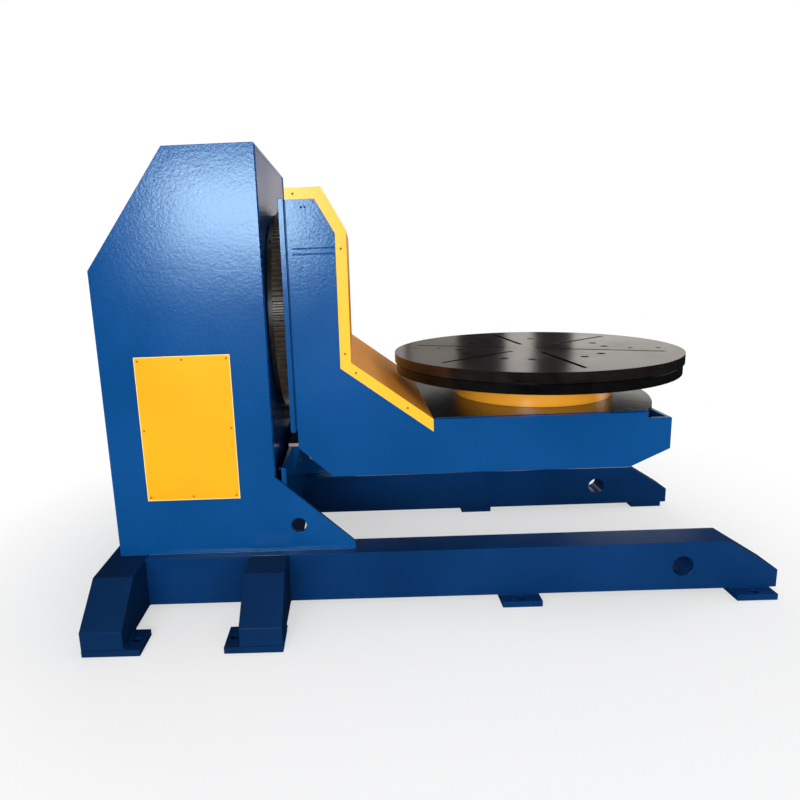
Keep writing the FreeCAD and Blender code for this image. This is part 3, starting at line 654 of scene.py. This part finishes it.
def tube_faces(rings: int, sides: int) -> list[Sequence[int]]:
    """Faces that join rings of points one after the other.

    Args:
        rings: Number of rings.
        sides: Points in each ring.

    Returns:
        Corner indices of each face.
    """
    faces: list[Sequence[int]] = []
    for ring in range(rings - 1):
        for side in range(sides):
            after = (side + 1) % sides
            faces.append((ring * sides + side, ring * sides + after,
                          (ring + 1) * sides + after, (ring + 1) * sides + side))
    return faces


def lathe(profile: Profile, place: Matrix, segments: int = 24) -> MeshPart:
    """Turn a profile about its own Z axis and place it.

    Args:
        profile: Radius and height pairs, from the foot of the piece to its crown.
        place: Where the piece stands, with its Z pointing out of the surface.
        segments: Number of steps round the axis.

    Returns:
        Vertices and faces.
    """
    points: list[Point] = []
    for radius, height in profile:
        for step in range(segments):
            turn = 2.0 * math.pi * step / segments
            points.append(tuple(place @ Vector((radius * math.cos(turn),
                                                radius * math.sin(turn), height))))
    faces = tube_faces(len(profile), segments)
    faces.append(tuple(range(segments))[::-1])
    faces.append(tuple((len(profile) - 1) * segments + step for step in range(segments)))
    return points, faces


def facing(position: Point, normal: Point) -> Matrix:
    """Matrix that puts Z along a surface normal at a position.

    Args:
        position: Origin in metres.
        normal: Outward direction.

    Returns:
        The placement.
    """
    turn = Vector(normal).to_track_quat("Z", "Y")
    return Matrix.Translation(position) @ turn.to_matrix().to_4x4()


def weld_bead(path: Sequence[Point], radius: float) -> MeshPart:
    """Rippled bead that follows a polyline.

    Args:
        path: Corners of the seam.
        radius: Bead radius in metres.

    Returns:
        Vertices and faces.
    """
    step, sides, end_share = 0.007, 8, 0.5
    fine_height, fine_pace, slow_height, slow_pace = 0.13, 1.9, 0.06, 0.37
    stations: list[Vector] = []
    for start, end in zip(path, path[1:]):
        a, b = Vector(start), Vector(end)
        count = max(2, int((b - a).length / step))
        stations += [a.lerp(b, index / count) for index in range(count)]
    stations.append(Vector(path[-1]))
    last = len(stations) - 1
    points: list[Point] = []
    for index, station in enumerate(stations):
        ahead = stations[min(index + 1, last)] - stations[max(index - 1, 0)]
        turn = ahead.to_track_quat("Z", "Y")
        ripple = (1.0 + fine_height * math.sin(index * fine_pace)
                  + slow_height * math.sin(index * slow_pace))
        size = radius * (ripple if 0 < index < last else end_share)
        for side in range(sides):
            angle = 2.0 * math.pi * side / sides
            spoke = Vector((size * math.cos(angle), size * math.sin(angle), 0))
            points.append(tuple(station + turn @ spoke))
    return points, tube_faces(len(stations), sides)


def flipped(path: Sequence[Point]) -> list[Point]:
    """The same path on the other side of the machine."""
    return [(x, -y, z) for x, y, z in path]


def both_sides(paths: Sequence[Sequence[Point]]) -> list[Sequence[Point]]:
    """Paths of the near side followed by their mirror images."""
    return [*paths, *[flipped(path) for path in paths]]


def box_part(low: Point, high: Point) -> MeshPart:
    """Box between two corners.

    Args:
        low: Lowest corner.
        high: Highest corner.

    Returns:
        Vertices and faces.
    """
    xs, ys, zs = zip(low, high)
    points = [(x, y, z) for x in xs for y in ys for z in zs]
    faces = [(0, 1, 3, 2), (4, 6, 7, 5), (0, 4, 5, 1), (2, 3, 7, 6), (0, 2, 6, 4), (1, 5, 7, 3)]
    return points, faces


def cap_head_profile(radius: float, height: float) -> Profile:
    """Profile of a socket cap head with a recess, from seat to socket floor.

    Args:
        radius: Radius of the head.
        height: Height of the head.

    Returns:
        Radius and height pairs.
    """
    socket = radius * 0.5
    return [(radius, 0.0), (radius, height * 0.88), (radius * 0.9, height), (socket, height),
            (socket * 0.92, height * 0.45), (AXIS_RADIUS, height * 0.42)]


def button_head_profile(radius: float, height: float) -> Profile:
    """Profile of a domed head with a socket, from seat to socket floor.

    Args:
        radius: Radius of the head.
        height: Height of the dome.

    Returns:
        Radius and height pairs.
    """
    dome = [(radius * math.cos(math.radians(a)), height * math.sin(math.radians(a)))
            for a in (0, 18, 36, 52, 64)]
    return dome + [(radius * 0.40, height * 0.95), (radius * 0.36, height * 0.45),
                   (AXIS_RADIUS, height * 0.42)]


def head_centres(points: Iterable[Vector], across: int, along: int, reach: float
                 ) -> list[tuple[float, float]]:
    """Middles of the separate bolt heads in a CAD piece.

    Args:
        points: Corners of the heads.
        across: First axis of the plane that the heads lie in.
        along: Second axis of that plane.
        reach: Distance within which two corners belong to one head.

    Returns:
        The two coordinates of each middle.
    """
    groups: list[list[tuple[float, float]]] = []
    for point in points:
        flat = (point[across], point[along])
        for group in groups:
            if math.dist(group[0], flat) < reach:
                group.append(flat)
                break
        else:
            groups.append([flat])
    return [tuple((min(side) + max(side)) / 2 for side in zip(*group)) for group in groups]


def corners(name: str) -> tuple[Vector, Vector]:
    """Lowest and highest corner of a CAD piece."""
    low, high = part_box(name)
    return Vector(low), Vector(high)


@dataclass
class Dresser:
    """Puts finishes, edges and bodies on the machine's pieces."""

    nodes: dict[str, bpy.types.Object]
    corner_gap: float = 0.00002
    flat_angle: float = 0.4
    sharp_angle: float = 32.0
    edge_steps: int = 2
    face_weight: int = 60
    side_share: float = 0.7

    def paint(self, names: Iterable[str], material: Material, edge: float = 0.002) -> None:
        """Give CAD pieces a material and rounded edges.

        Args:
            names: Node names.
            material: Their material.
            edge: Width of the edge rounding, or 0 for none.
        """
        for name in names:
            piece = self.nodes[name]
            piece.data.materials.clear()
            piece.data.materials.append(material)
            if edge > 0.0:
                self.round_edges(piece, edge)

    def round_edges(self, piece: bpy.types.Object, edge: float) -> None:
        """Close, flatten and round a CAD mesh with modifiers.

        Args:
            piece: The piece.
            edge: Width of the edge rounding.
        """
        weld = piece.modifiers.new("close_corners", "WELD")
        weld.merge_threshold = self.corner_gap
        flats = piece.modifiers.new("flat_regions", "DECIMATE")
        flats.decimate_type = "DISSOLVE"
        flats.angle_limit = math.radians(self.flat_angle)
        rounding = piece.modifiers.new("rounded_edges", "BEVEL")
        rounding.width = edge
        rounding.segments = self.edge_steps
        rounding.limit_method = "ANGLE"
        rounding.angle_limit = math.radians(self.sharp_angle)
        rounding.use_clamp_overlap = True
        flat = piece.modifiers.new("flat_faces", "WEIGHTED_NORMAL")
        flat.weight = self.face_weight

    def paint_flanges(self, name: str, flange: Material, sheet: Material) -> None:
        """Paint a folded sheet's side flanges in one material and its outer sheet in a second,
        which the callers give as a painted shade.

        Args:
            name: Node name.
            flange: Material of the faces that look sideways.
            sheet: Material of all other faces.
        """
        self.paint([name], flange, edge=0.0008)
        mesh = self.nodes[name].data
        mesh.materials.append(sheet)
        for polygon in mesh.polygons:
            polygon.material_index = 0 if abs(polygon.normal.y) > self.side_share else 1

    def attach(self, piece: bpy.types.Object, material: Material, body: Body,
               slot: Slot) -> None:
        """Finish a modelled piece and tie it to its body.

        Args:
            piece: The piece.
            material: Its material.
            body: The body that it rides on.
            slot: Not used.
        """
        piece.data.materials.append(material)
        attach(piece, body.value)
        LOG.info("built %s on %s", piece.name, body.value)


@dataclass
class OutriggerFrame:
    """Beams, legs, feet and pads, with the seams that join them."""

    finishes: Finishes
    dresser: Dresser
    bead: float = 0.0045
    edge: float = 0.004
    foot_seam: tuple[float, float] = (0.004, 0.158)
    beams: tuple[str, ...] = ("near_outrigger_beam", "far_outrigger_beam", "front_cross_beam",
                              "middle_pads", "end_pads")
    feet: tuple[str, ...] = ("rear_cross_leg", "near_front_leg", "far_front_leg",
                             "rear_foot_plates", "front_foot_plates")

    def seams(self) -> list[Sequence[Point]]:
        """Weld paths of the near side, kept inside the machine's length.

        Returns:
            Polylines in metres.
        """
        beam_low, beam_high = corners("near_outrigger_beam")
        leg_low, leg_high = corners("near_front_leg")
        rear_low, rear_high = corners("rear_cross_leg")
        face, top, foot = beam_low.y, beam_high.z, beam_low.z
        paths = [[(x, face, top), (x, face, foot)] for x in (leg_low.x, leg_high.x)]
        paths.append([(leg_low.x, face, top), (leg_high.x, face, top)])
        paths.append([(rear_high.x, face, top), (rear_high.x, face, foot)])
        paths.append([(rear_high.x, face, top), (rear_high.x, beam_high.y, top)])
        plate = corners("front_foot_plates")[0].y
        start, end = self.foot_seam
        for low, high in ((leg_low, leg_high), (rear_low, rear_high)):
            for x in (max(low.x, rear_low.x + 2 * self.bead), high.x):
                paths.append([(x, plate + start, foot), (x, plate + end, foot)])
        for name in ("middle_pads", "end_pads"):
            pad_low, pad_high = corners(name)
            paths.append([(pad_low.x, face, pad_high.z), (pad_high.x, face, pad_high.z)])
        return paths

    def build(self) -> None:
        """Paint the frame in darker copies of the blue, as painted shade towards the floor, and
        lay its weld beads.
        """
        self.dresser.paint(self.beams, self.finishes.frame_shaded_blue, self.edge)
        self.dresser.paint(self.feet, self.finishes.foot_shaded_blue, self.edge)
        beads = [weld_bead(path, self.bead) for path in both_sides(self.seams())]
        self.dresser.attach(join_parts("frame_weld_beads", beads), self.finishes.frame_shaded_blue,
                            Body.BASE, Slot.BLUE)


@dataclass
class HeadstockColumn:
    """Column plates, access panel, gland and their small fittings."""

    finishes: Finishes
    dresser: Dresser
    bead: float = 0.004
    edge: float = 0.002
    cad_head_radius: float = 0.008
    screw_radius: float = 0.006
    screw_height: float = 0.0035
    highlight_strip_width: float = 0.003
    highlight_strip_depth: float = 0.0025
    gusset_height: float = 0.38
    top_gap: float = 0.004
    seam_lift: float = 0.01
    ledge_lap: float = 0.02
    rib_thickness: float = 0.016
    gland_profile: Profile = ((0.0165, -0.016), (0.0175, -0.014), (0.0175, -0.003), (0.0150, 0.0),
                              (0.0105, 0.0), (0.0100, -0.004), (AXIS_RADIUS, -0.004))
    plates: tuple[str, ...] = ("column_near_side", "column_far_side", "column_front_plate",
                               "column_top_plate", "column_slope_plate", "column_rear_plate",
                               "column_base_plate", "apron_plate", "apron_ribs")

    def panel_frame(self) -> None:
        """Pale strip round the access panel, a painted highlight along its edge."""
        low, high = corners("access_panel")
        wide, face = self.highlight_strip_width, high.y
        spans = [((low.x - wide, low.z - wide), (high.x + wide, low.z)),
                 ((low.x - wide, high.z), (high.x + wide, high.z + wide)),
                 ((low.x - wide, low.z), (low.x, high.z)),
                 ((high.x, low.z), (high.x + wide, high.z))]
        parts = [box_part((x0, face - self.highlight_strip_depth, z0), (x1, face, z1))
                 for (x0, z0), (x1, z1) in spans]
        self.dresser.attach(join_parts("access_panel_painted_edge_highlight", parts, smooth=False),
                            self.finishes.cream, Body.BASE, Slot.YELLOW)

    def panel_screws(self) -> None:
        """Domed socket screws round the access panel, at its corners and mid-sides."""
        low, high = corners("access_panel_screws")
        inset = self.cad_head_radius
        xs = (low.x + inset, (low.x + high.x) / 2, high.x - inset)
        zs = (low.z + inset, (low.z + high.z) / 2, high.z - inset)
        profile = button_head_profile(self.screw_radius, self.screw_height)
        parts = [lathe(profile, facing((x, high.y, z), (0, -1, 0)))
                 for x in xs for z in zs if (x, z) != (xs[1], zs[1])]
        screws = join_parts("access_panel_button_screws", parts)
        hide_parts("access_panel_screws")
        self.dresser.attach(screws, self.finishes.screw, Body.BASE, Slot.FASTENER)

    def seams(self) -> list[Sequence[Point]]:
        """Weld paths of the near side.

        Returns:
            Polylines in metres.
        """
        low, high = corners("column_near_side")
        front = corners("column_front_plate")[1].x
        ledge = corners("apron_ledge")[0].z
        apron_low, apron_high = corners("apron_plate")
        rib_low, rib_high = corners("apron_ribs")
        inner, base, lift = high.y, low.z, self.seam_lift
        paths = [
            [(low.x, low.y, base), (high.x, low.y, base)],
            [(front, inner, base + self.gusset_height), (front, inner, high.z - self.top_gap)],
            [(apron_high.x, inner, base + lift), (apron_high.x, inner, apron_high.z)],
            [(apron_low.x, inner, ledge), (front + self.ledge_lap, inner, ledge)],
        ]
        for y in (rib_low.y, rib_low.y + self.rib_thickness):
            paths.append([(apron_high.x, y, rib_low.z + lift), (apron_high.x, y, rib_high.z)])
        return paths

    def gland_nut(self) -> None:
        """Domed nut and blanking plug on the cable gland."""
        low, high = corners("cable_gland")
        centre = (low.x, (low.y + high.y) / 2, (low.z + high.z) / 2)
        nut = lathe(self.gland_profile, facing(centre, (-1, 0, 0)), SMALL_SEGMENTS)
        self.dresser.attach(join_parts("gland_dome_nut", [nut]), self.finishes.plastic,
                            Body.BASE, Slot.GLAND)

    def build(self) -> None:
        """Paint the column and add its fittings."""
        dresser, finishes = self.dresser, self.finishes
        dresser.paint(self.plates, finishes.blue, self.edge)
        # The apron ledge: pale pink end faces, and dark navy painted shade on its other faces.
        dresser.paint_flanges("apron_ledge", finishes.pale_pink, finishes.shade)
        dresser.paint(["access_panel"], finishes.yellow, edge=0.0015)
        dresser.paint(["cable_gland"], finishes.plastic, edge=0.001)
        dresser.paint(["tilt_reducer", "tilt_motor"], finishes.drive, self.edge)
        dresser.paint(["column_ring_bolts", "access_panel_screws"], finishes.bolt, edge=0.0)
        beads = [weld_bead(path, self.bead) for path in both_sides(self.seams())]
        dresser.attach(join_parts("column_weld_beads", beads), finishes.blue, Body.BASE, Slot.BLUE)
        self.panel_frame()
        self.panel_screws()
        self.gland_nut()


@dataclass
class TiltDrive:
    """Tilt bearing, geared ring and pinion."""

    finishes: Finishes
    dresser: Dresser
    nipple_count: int = 4
    nipple_phase: float = 45.0
    nipple_inset: float = 0.012
    nipple_profile: Profile = ((0.005, -0.002), (0.005, 0.004), (0.0032, 0.006), (0.0032, 0.010),
                               (0.0038, 0.012), (0.0030, 0.015), (AXIS_RADIUS, 0.016))

    def grease_nipples(self) -> None:
        """Grease nipples on the plain half of the tilt bearing."""
        low, high = corners("tilt_bearing_half_ring")
        x, axis_z, radius = low.x + self.nipple_inset, (high.z + low.z) / 2, (high.z - low.z) / 2
        parts = []
        for index in range(self.nipple_count):
            angle = math.radians(self.nipple_phase + 360.0 * index / self.nipple_count)
            out = (0.0, math.cos(angle), math.sin(angle))
            foot = (x, radius * out[1], axis_z + radius * out[2])
            parts.append(lathe(self.nipple_profile, facing(foot, out), SMALL_SEGMENTS))
        self.dresser.attach(join_parts("tilt_grease_nipples", parts), self.finishes.bolt,
                            Body.ARM, Slot.FASTENER)

    def build(self) -> None:
        """Dress the bearing and its pinion."""
        self.dresser.paint(["tilt_bearing_inner_ring", "tilt_bearing_half_ring"],
                           self.finishes.bolt, edge=0.001)
        self.dresser.paint(["tilt_gear_ring", "tilt_pinion", "table_pinion"], self.finishes.gear,
                           edge=0.0)
        self.grease_nipples()


@dataclass
class TiltingArm:
    """L-shaped arm: plates, folded cover and platform."""

    finishes: Finishes
    dresser: Dresser
    bead: float = 0.0035
    edge: float = 0.002
    head_reach: float = 0.02
    screw_radius: float = 0.006
    screw_height: float = 0.0032
    side_seam: tuple[float, float] = (0.02, 0.215)
    seam_drop: tuple[float, float] = (0.26, 0.285)
    cover_gap: float = 0.01
    top_setback: float = 0.115
    heel_seam: tuple[float, float] = (0.157, 0.182)
    plug_places: tuple[float, float] = (0.070, 0.086)
    plug_drop: float = 0.081
    plug_profile: Profile = ((0.0048, -0.001), (0.0048, 0.0009), (AXIS_RADIUS, 0.0009))
    plates: tuple[str, ...] = ("arm_near_side", "arm_far_side", "arm_back_plate", "arm_rear_panel",
                               "arm_front_web", "arm_heel_plate", "platform_bottom_plate",
                               "platform_chamfer_plate", "platform_end_plate", "platform_webs")

    def cover_screws(self) -> None:
        """Domed socket screws of the folded cover, where the CAD heads are."""
        low, high = corners("arm_cover")
        heads = self.dresser.nodes["arm_cover_screws"].data.vertices
        near = [vertex.co for vertex in heads if vertex.co.y < 0]
        profile = button_head_profile(self.screw_radius, self.screw_height)
        parts = [lathe(profile, facing((x, face, z), (0, way, 0)))
                 for x, z in head_centres(near, 0, 2, self.head_reach)
                 for face, way in ((low.y, -1.0), (high.y, 1.0))]
        screws = join_parts("arm_cover_button_screws", parts)
        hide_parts("arm_cover_screws")
        self.dresser.attach(screws, self.finishes.screw, Body.ARM, Slot.FASTENER)

    def seams(self) -> list[Sequence[Point]]:
        """Weld paths of the near side.

        Returns:
            Polylines in metres.
        """
        low, high = corners("arm_near_side")
        end_low, end_high = corners("platform_end_plate")
        top = corners("platform_top_plate")[1].z
        cover = corners("arm_cover")[1].x
        start, end = self.side_seam
        heel_start, heel_end = self.heel_seam
        paths = [[(low.x + start, low.y, high.z - drop), (low.x + end, low.y, high.z - drop)]
                 for drop in self.seam_drop]
        paths.append([(cover + self.cover_gap, high.y, top),
                      (end_high.x - self.top_setback, high.y, top)])
        paths.append([(end_high.x, high.y, end_low.z), (end_high.x, high.y, end_high.z)])
        paths.append([(end_high.x - heel_end, high.y, low.z), (low.x + heel_start, high.y, low.z)])
        return paths

    def plugs(self) -> None:
        """Two small plug screws under the cover's flange."""
        low, high = corners("arm_near_side")
        parts = []
        for along in self.plug_places:
            seat = (low.x + along, low.y, high.z - self.plug_drop)
            parts.append(lathe(self.plug_profile, facing(seat, (0, -1, 0)), SMALL_SEGMENTS))
        self.dresser.attach(join_parts("arm_plug_screws", parts), self.finishes.plastic,
                            Body.ARM, Slot.FASTENER)

    def build(self) -> None:
        """Paint the arm and add its fittings."""
        dresser, finishes = self.dresser, self.finishes
        dresser.paint(self.plates, finishes.blue, self.edge)
        dresser.paint(["platform_top_plate", "platform_rear_plate"], finishes.bed, self.edge)
        # The cover's sideways flanges get the yellow, and its other faces get a darker copy as
        # painted shade.
        dresser.paint_flanges("arm_cover", finishes.lemon, finishes.shaded_yellow)
        dresser.paint(["arm_ring_bolts", "arm_cover_screws", "platform_ring_bolts"],
                      finishes.bolt, edge=0.0)
        dresser.paint(["table_reducer", "table_motor", "earth_brush_holder"], finishes.drive,
                      self.edge)
        beads = [weld_bead(path, self.bead) for path in both_sides(self.seams())]
        dresser.attach(join_parts("arm_weld_beads", beads), finishes.blue, Body.ARM, Slot.BLUE)
        self.cover_screws()
        self.plugs()


@dataclass
class RotaryTable:
    """Table discs, bearing and guard."""

    finishes: Finishes
    dresser: Dresser
    edge: float = 0.0015
    head_reach: float = 0.05
    head_radius: float = 0.018
    head_height: float = 0.022

    def bolt_heads(self) -> None:
        """Socket cap heads in the table's sunk holes."""
        heads = [vertex.co for vertex in self.dresser.nodes["table_bolts"].data.vertices]
        seat = min(point.z for point in heads)
        profile = cap_head_profile(self.head_radius, self.head_height)
        parts = [lathe(profile, facing((x, y, seat), (0, 0, 1)))
                 for x, y in head_centres(heads, 0, 1, self.head_reach)]
        bolts = join_parts("table_cap_bolts", parts)
        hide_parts("table_bolts")
        self.dresser.attach(bolts, self.finishes.zinc, Body.TABLE, Slot.FASTENER)

    def build(self) -> None:
        """Dress the table."""
        dresser, finishes = self.dresser, self.finishes
        dresser.paint(["table_plate"], finishes.table_top, self.edge)
        dresser.paint(["table_backing_disc", "table_adapter_plate"], finishes.table_rim, self.edge)
        dresser.paint(["table_bolts"], finishes.bolt, edge=0.0)
        dresser.paint(["table_gear_ring", "table_bearing_half_ring", "table_bearing_inner_ring"],
                      finishes.gear, edge=0.0)
        dresser.paint(["table_guard_ring"], finishes.guard, self.edge)
        self.bolt_heads()


@dataclass(frozen=True)
class SoftLamp:
    """Rectangular lamp, described by how bright its face looks."""

    name: str
    place: Point
    aim: Point
    size: tuple[float, float]
    brightness: float
    colour: tuple[float, float, float] = (1.0, 1.0, 1.0)
    mirrored: bool = True

    def power(self) -> float:
        """Power in watts for the lamp's brightness and size."""
        return self.brightness * math.pi * self.size[0] * self.size[1]


@dataclass
class Studio:
    """Floor, lamps, world and camera."""

    eye: Point = (-0.3666, -3.3623, 1.6570)
    right_axis: Point = (0.99912, 0.01310, -0.03974)
    view_axis: Point = (-0.02036, 0.98135, -0.19114)
    sensor: float = 36.0
    lens: float = 27.483
    shift: tuple[float, float] = (0.0679, -0.0231)
    floor_reach: float = 30.0
    floor_colour: Colour = (0.86, 0.86, 0.86, 1)
    floor_roughness: float = 0.95
    fade_distances: tuple[float, float] = (1.9, 3.0)
    near_white: float = 0.55
    dark_floor: Colour = (0.008, 0.012, 0.02, 1)
    dark_shop: Colour = (0.03, 0.03, 0.03, 1)
    fill_colour: Colour = (0.93, 0.96, 1.0, 1)
    fill_strength: float = 0.42
    lamps: tuple[SoftLamp, ...] = (
        SoftLamp("front_window", (-2.15, -7.5, 2.52), (-2.15, 0.0, 1.9), (2.3, 1.4), 14.5,
                 (0.86, 0.95, 1.0)),
        SoftLamp("front_fill", (-1.6, -7.5, 3.2), (-0.6, 0.0, 1.2), (6.0, 2.6), 4.8,
                 mirrored=False),
        SoftLamp("low_fill", (0.6, -6.0, 1.0), (0.4, 0.0, 0.95), (5.0, 1.1), 7.6, mirrored=False),
        SoftLamp("rear_fill", (1.2, 7.5, 2.8), (-0.2, 0.0, 1.0), (6.0, 2.4), 4.2, mirrored=False),
        SoftLamp("right_softbox", (5.2, 0.6, 2.6), (0.2, 0.0, 1.1), (2.0, 2.0), 7.0,
                 (1.0, 0.95, 0.9)),
        SoftLamp("ceiling_strip", (-0.2, 0.0, 5.0), (-0.2, 0.0, 0.0), (4.0, 0.9), 2.5),
        SoftLamp("door_behind", (-0.3, 5.0, 2.35), (-0.3, 0.0, 2.2), (1.2, 1.9), 0.62,
                 (1.0, 0.90, 0.88)),
        SoftLamp("left_pane", (0.94, 7.0, 2.4), (0.3, 0.0, 1.2), (0.8, 1.4), 0.42,
                 (1.0, 0.93, 0.85)),
        SoftLamp("middle_pane", (2.4, 7.0, 2.4), (0.5, 0.0, 1.2), (0.45, 1.4), 0.9,
                 (1.0, 0.95, 0.88)),
        SoftLamp("right_pane", (4.35, 7.0, 2.45), (0.9, 0.0, 1.2), (2.0, 1.5), 1.0,
                 (1.0, 0.96, 0.9)),
    )

    def camera(self) -> None:
        """Place the camera."""
        data = bpy.data.cameras.new("view_camera")
        data.sensor_width = self.sensor
        data.lens = self.lens
        data.shift_x, data.shift_y = self.shift
        camera = bpy.data.objects.new("view_camera", data)
        bpy.context.scene.collection.objects.link(camera)
        back = -Vector(self.view_axis).normalized()
        right = Vector(self.right_axis)
        right = (right - back * right.dot(back)).normalized()
        turn = Matrix((right, back.cross(right), back)).transposed().to_4x4()
        camera.matrix_world = Matrix.Translation(self.eye) @ turn
        bpy.context.scene.camera = camera

    def lamp(self, given: SoftLamp) -> None:
        """Hang a rectangular soft lamp that the camera doesn't see.

        Args:
            given: The lamp's size, place and strength.
        """
        data = bpy.data.lights.new(given.name, "AREA")
        data.shape = "RECTANGLE"
        data.size, data.size_y = given.size
        data.energy = given.power()
        data.color = given.colour
        lamp = bpy.data.objects.new(given.name, data)
        bpy.context.scene.collection.objects.link(lamp)
        lamp.location = given.place
        aim = Vector(given.aim) - Vector(given.place)
        lamp.rotation_euler = aim.to_track_quat("-Z", "Y").to_euler()
        lamp.visible_camera = False
        lamp.visible_glossy = given.mirrored

    def floor(self) -> None:
        """Pale floor that keeps the shadow, fades to white and is dark in reflections."""
        far = self.floor_reach
        plane = new_object("studio_floor", [(-far, -far, 0), (far, -far, 0), (far, far, 0),
                                            (-far, far, 0)], [(0, 1, 2, 3)], smooth=False)
        material, shader = blank_material("floor_white")
        tree = material.node_tree
        fill(tree, shader, Base_Color=self.floor_colour, Roughness=self.floor_roughness)
        glow = node(tree, "ShaderNodeEmission", Color=WHITE, Strength=1.0)
        dark = node(tree, "ShaderNodeEmission", Color=self.dark_floor, Strength=1.0)
        place = node(tree, "ShaderNodeTexCoord").outputs["Object"]
        distance = reckon_vectors(tree, "LENGTH", place).outputs["Value"]
        fade = remap(tree, distance, self.fade_distances, (self.near_white, 1.0))
        path = node(tree, "ShaderNodeLightPath").outputs
        seen = reckon(tree, "MULTIPLY", path["Is Camera Ray"], fade)
        bright = mix_shaders(tree, seen, shader.outputs["BSDF"], glow.outputs["Emission"])
        mirror = mix_shaders(tree, path["Is Glossy Ray"], bright, dark.outputs["Emission"])
        fill(tree, tree.nodes["Material Output"], Surface=mirror)
        plane.data.materials.append(material)

    def world(self) -> None:
        """White backdrop for the camera, an even fill, and a dim workshop in reflections."""
        world = bpy.data.worlds.new("studio_world")
        world.use_nodes = True
        bpy.context.scene.world = world
        tree = world.node_tree
        soft = tree.nodes["Background"]
        fill(tree, soft, Color=self.fill_colour, Strength=self.fill_strength)
        white = node(tree, "ShaderNodeBackground", Color=WHITE, Strength=1.0)
        shop = node(tree, "ShaderNodeBackground", Color=self.dark_shop, Strength=1.0)
        path = node(tree, "ShaderNodeLightPath").outputs
        mirror = mix_shaders(tree, path["Is Glossy Ray"], soft.outputs["Background"],
                             shop.outputs["Background"])
        sky = mix_shaders(tree, path["Is Camera Ray"], mirror, white.outputs["Background"])
        fill(tree, tree.nodes["World Output"], Surface=sky)

    def build(self) -> None:
        """Set the stage."""
        bpy.context.scene.view_settings.view_transform = "Standard"
        self.floor()
        self.world()
        for lamp in self.lamps:
            self.lamp(lamp)
        self.camera()
        LOG.info("studio ready")


def main() -> None:
    """Build every sub-assembly in order."""
    logging.basicConfig(level=logging.INFO, format="%(name)s: %(message)s")
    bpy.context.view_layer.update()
    table_low, table_high = corners("table_plate")
    centre = ((table_low.x + table_high.x) / 2, (table_low.y + table_high.y) / 2, table_high.z)
    finishes = Finishes(EffectLibrary(), centre)
    dresser = Dresser(frame["nodes"])
    for assembly in (OutriggerFrame(finishes, dresser), HeadstockColumn(finishes, dresser),
                     TiltDrive(finishes, dresser), TiltingArm(finishes, dresser),
                     RotaryTable(finishes, dresser), Studio()):
        LOG.info("building %s", type(assembly).__name__)
        assembly.build()


if __name__ == "__main__":
    main()
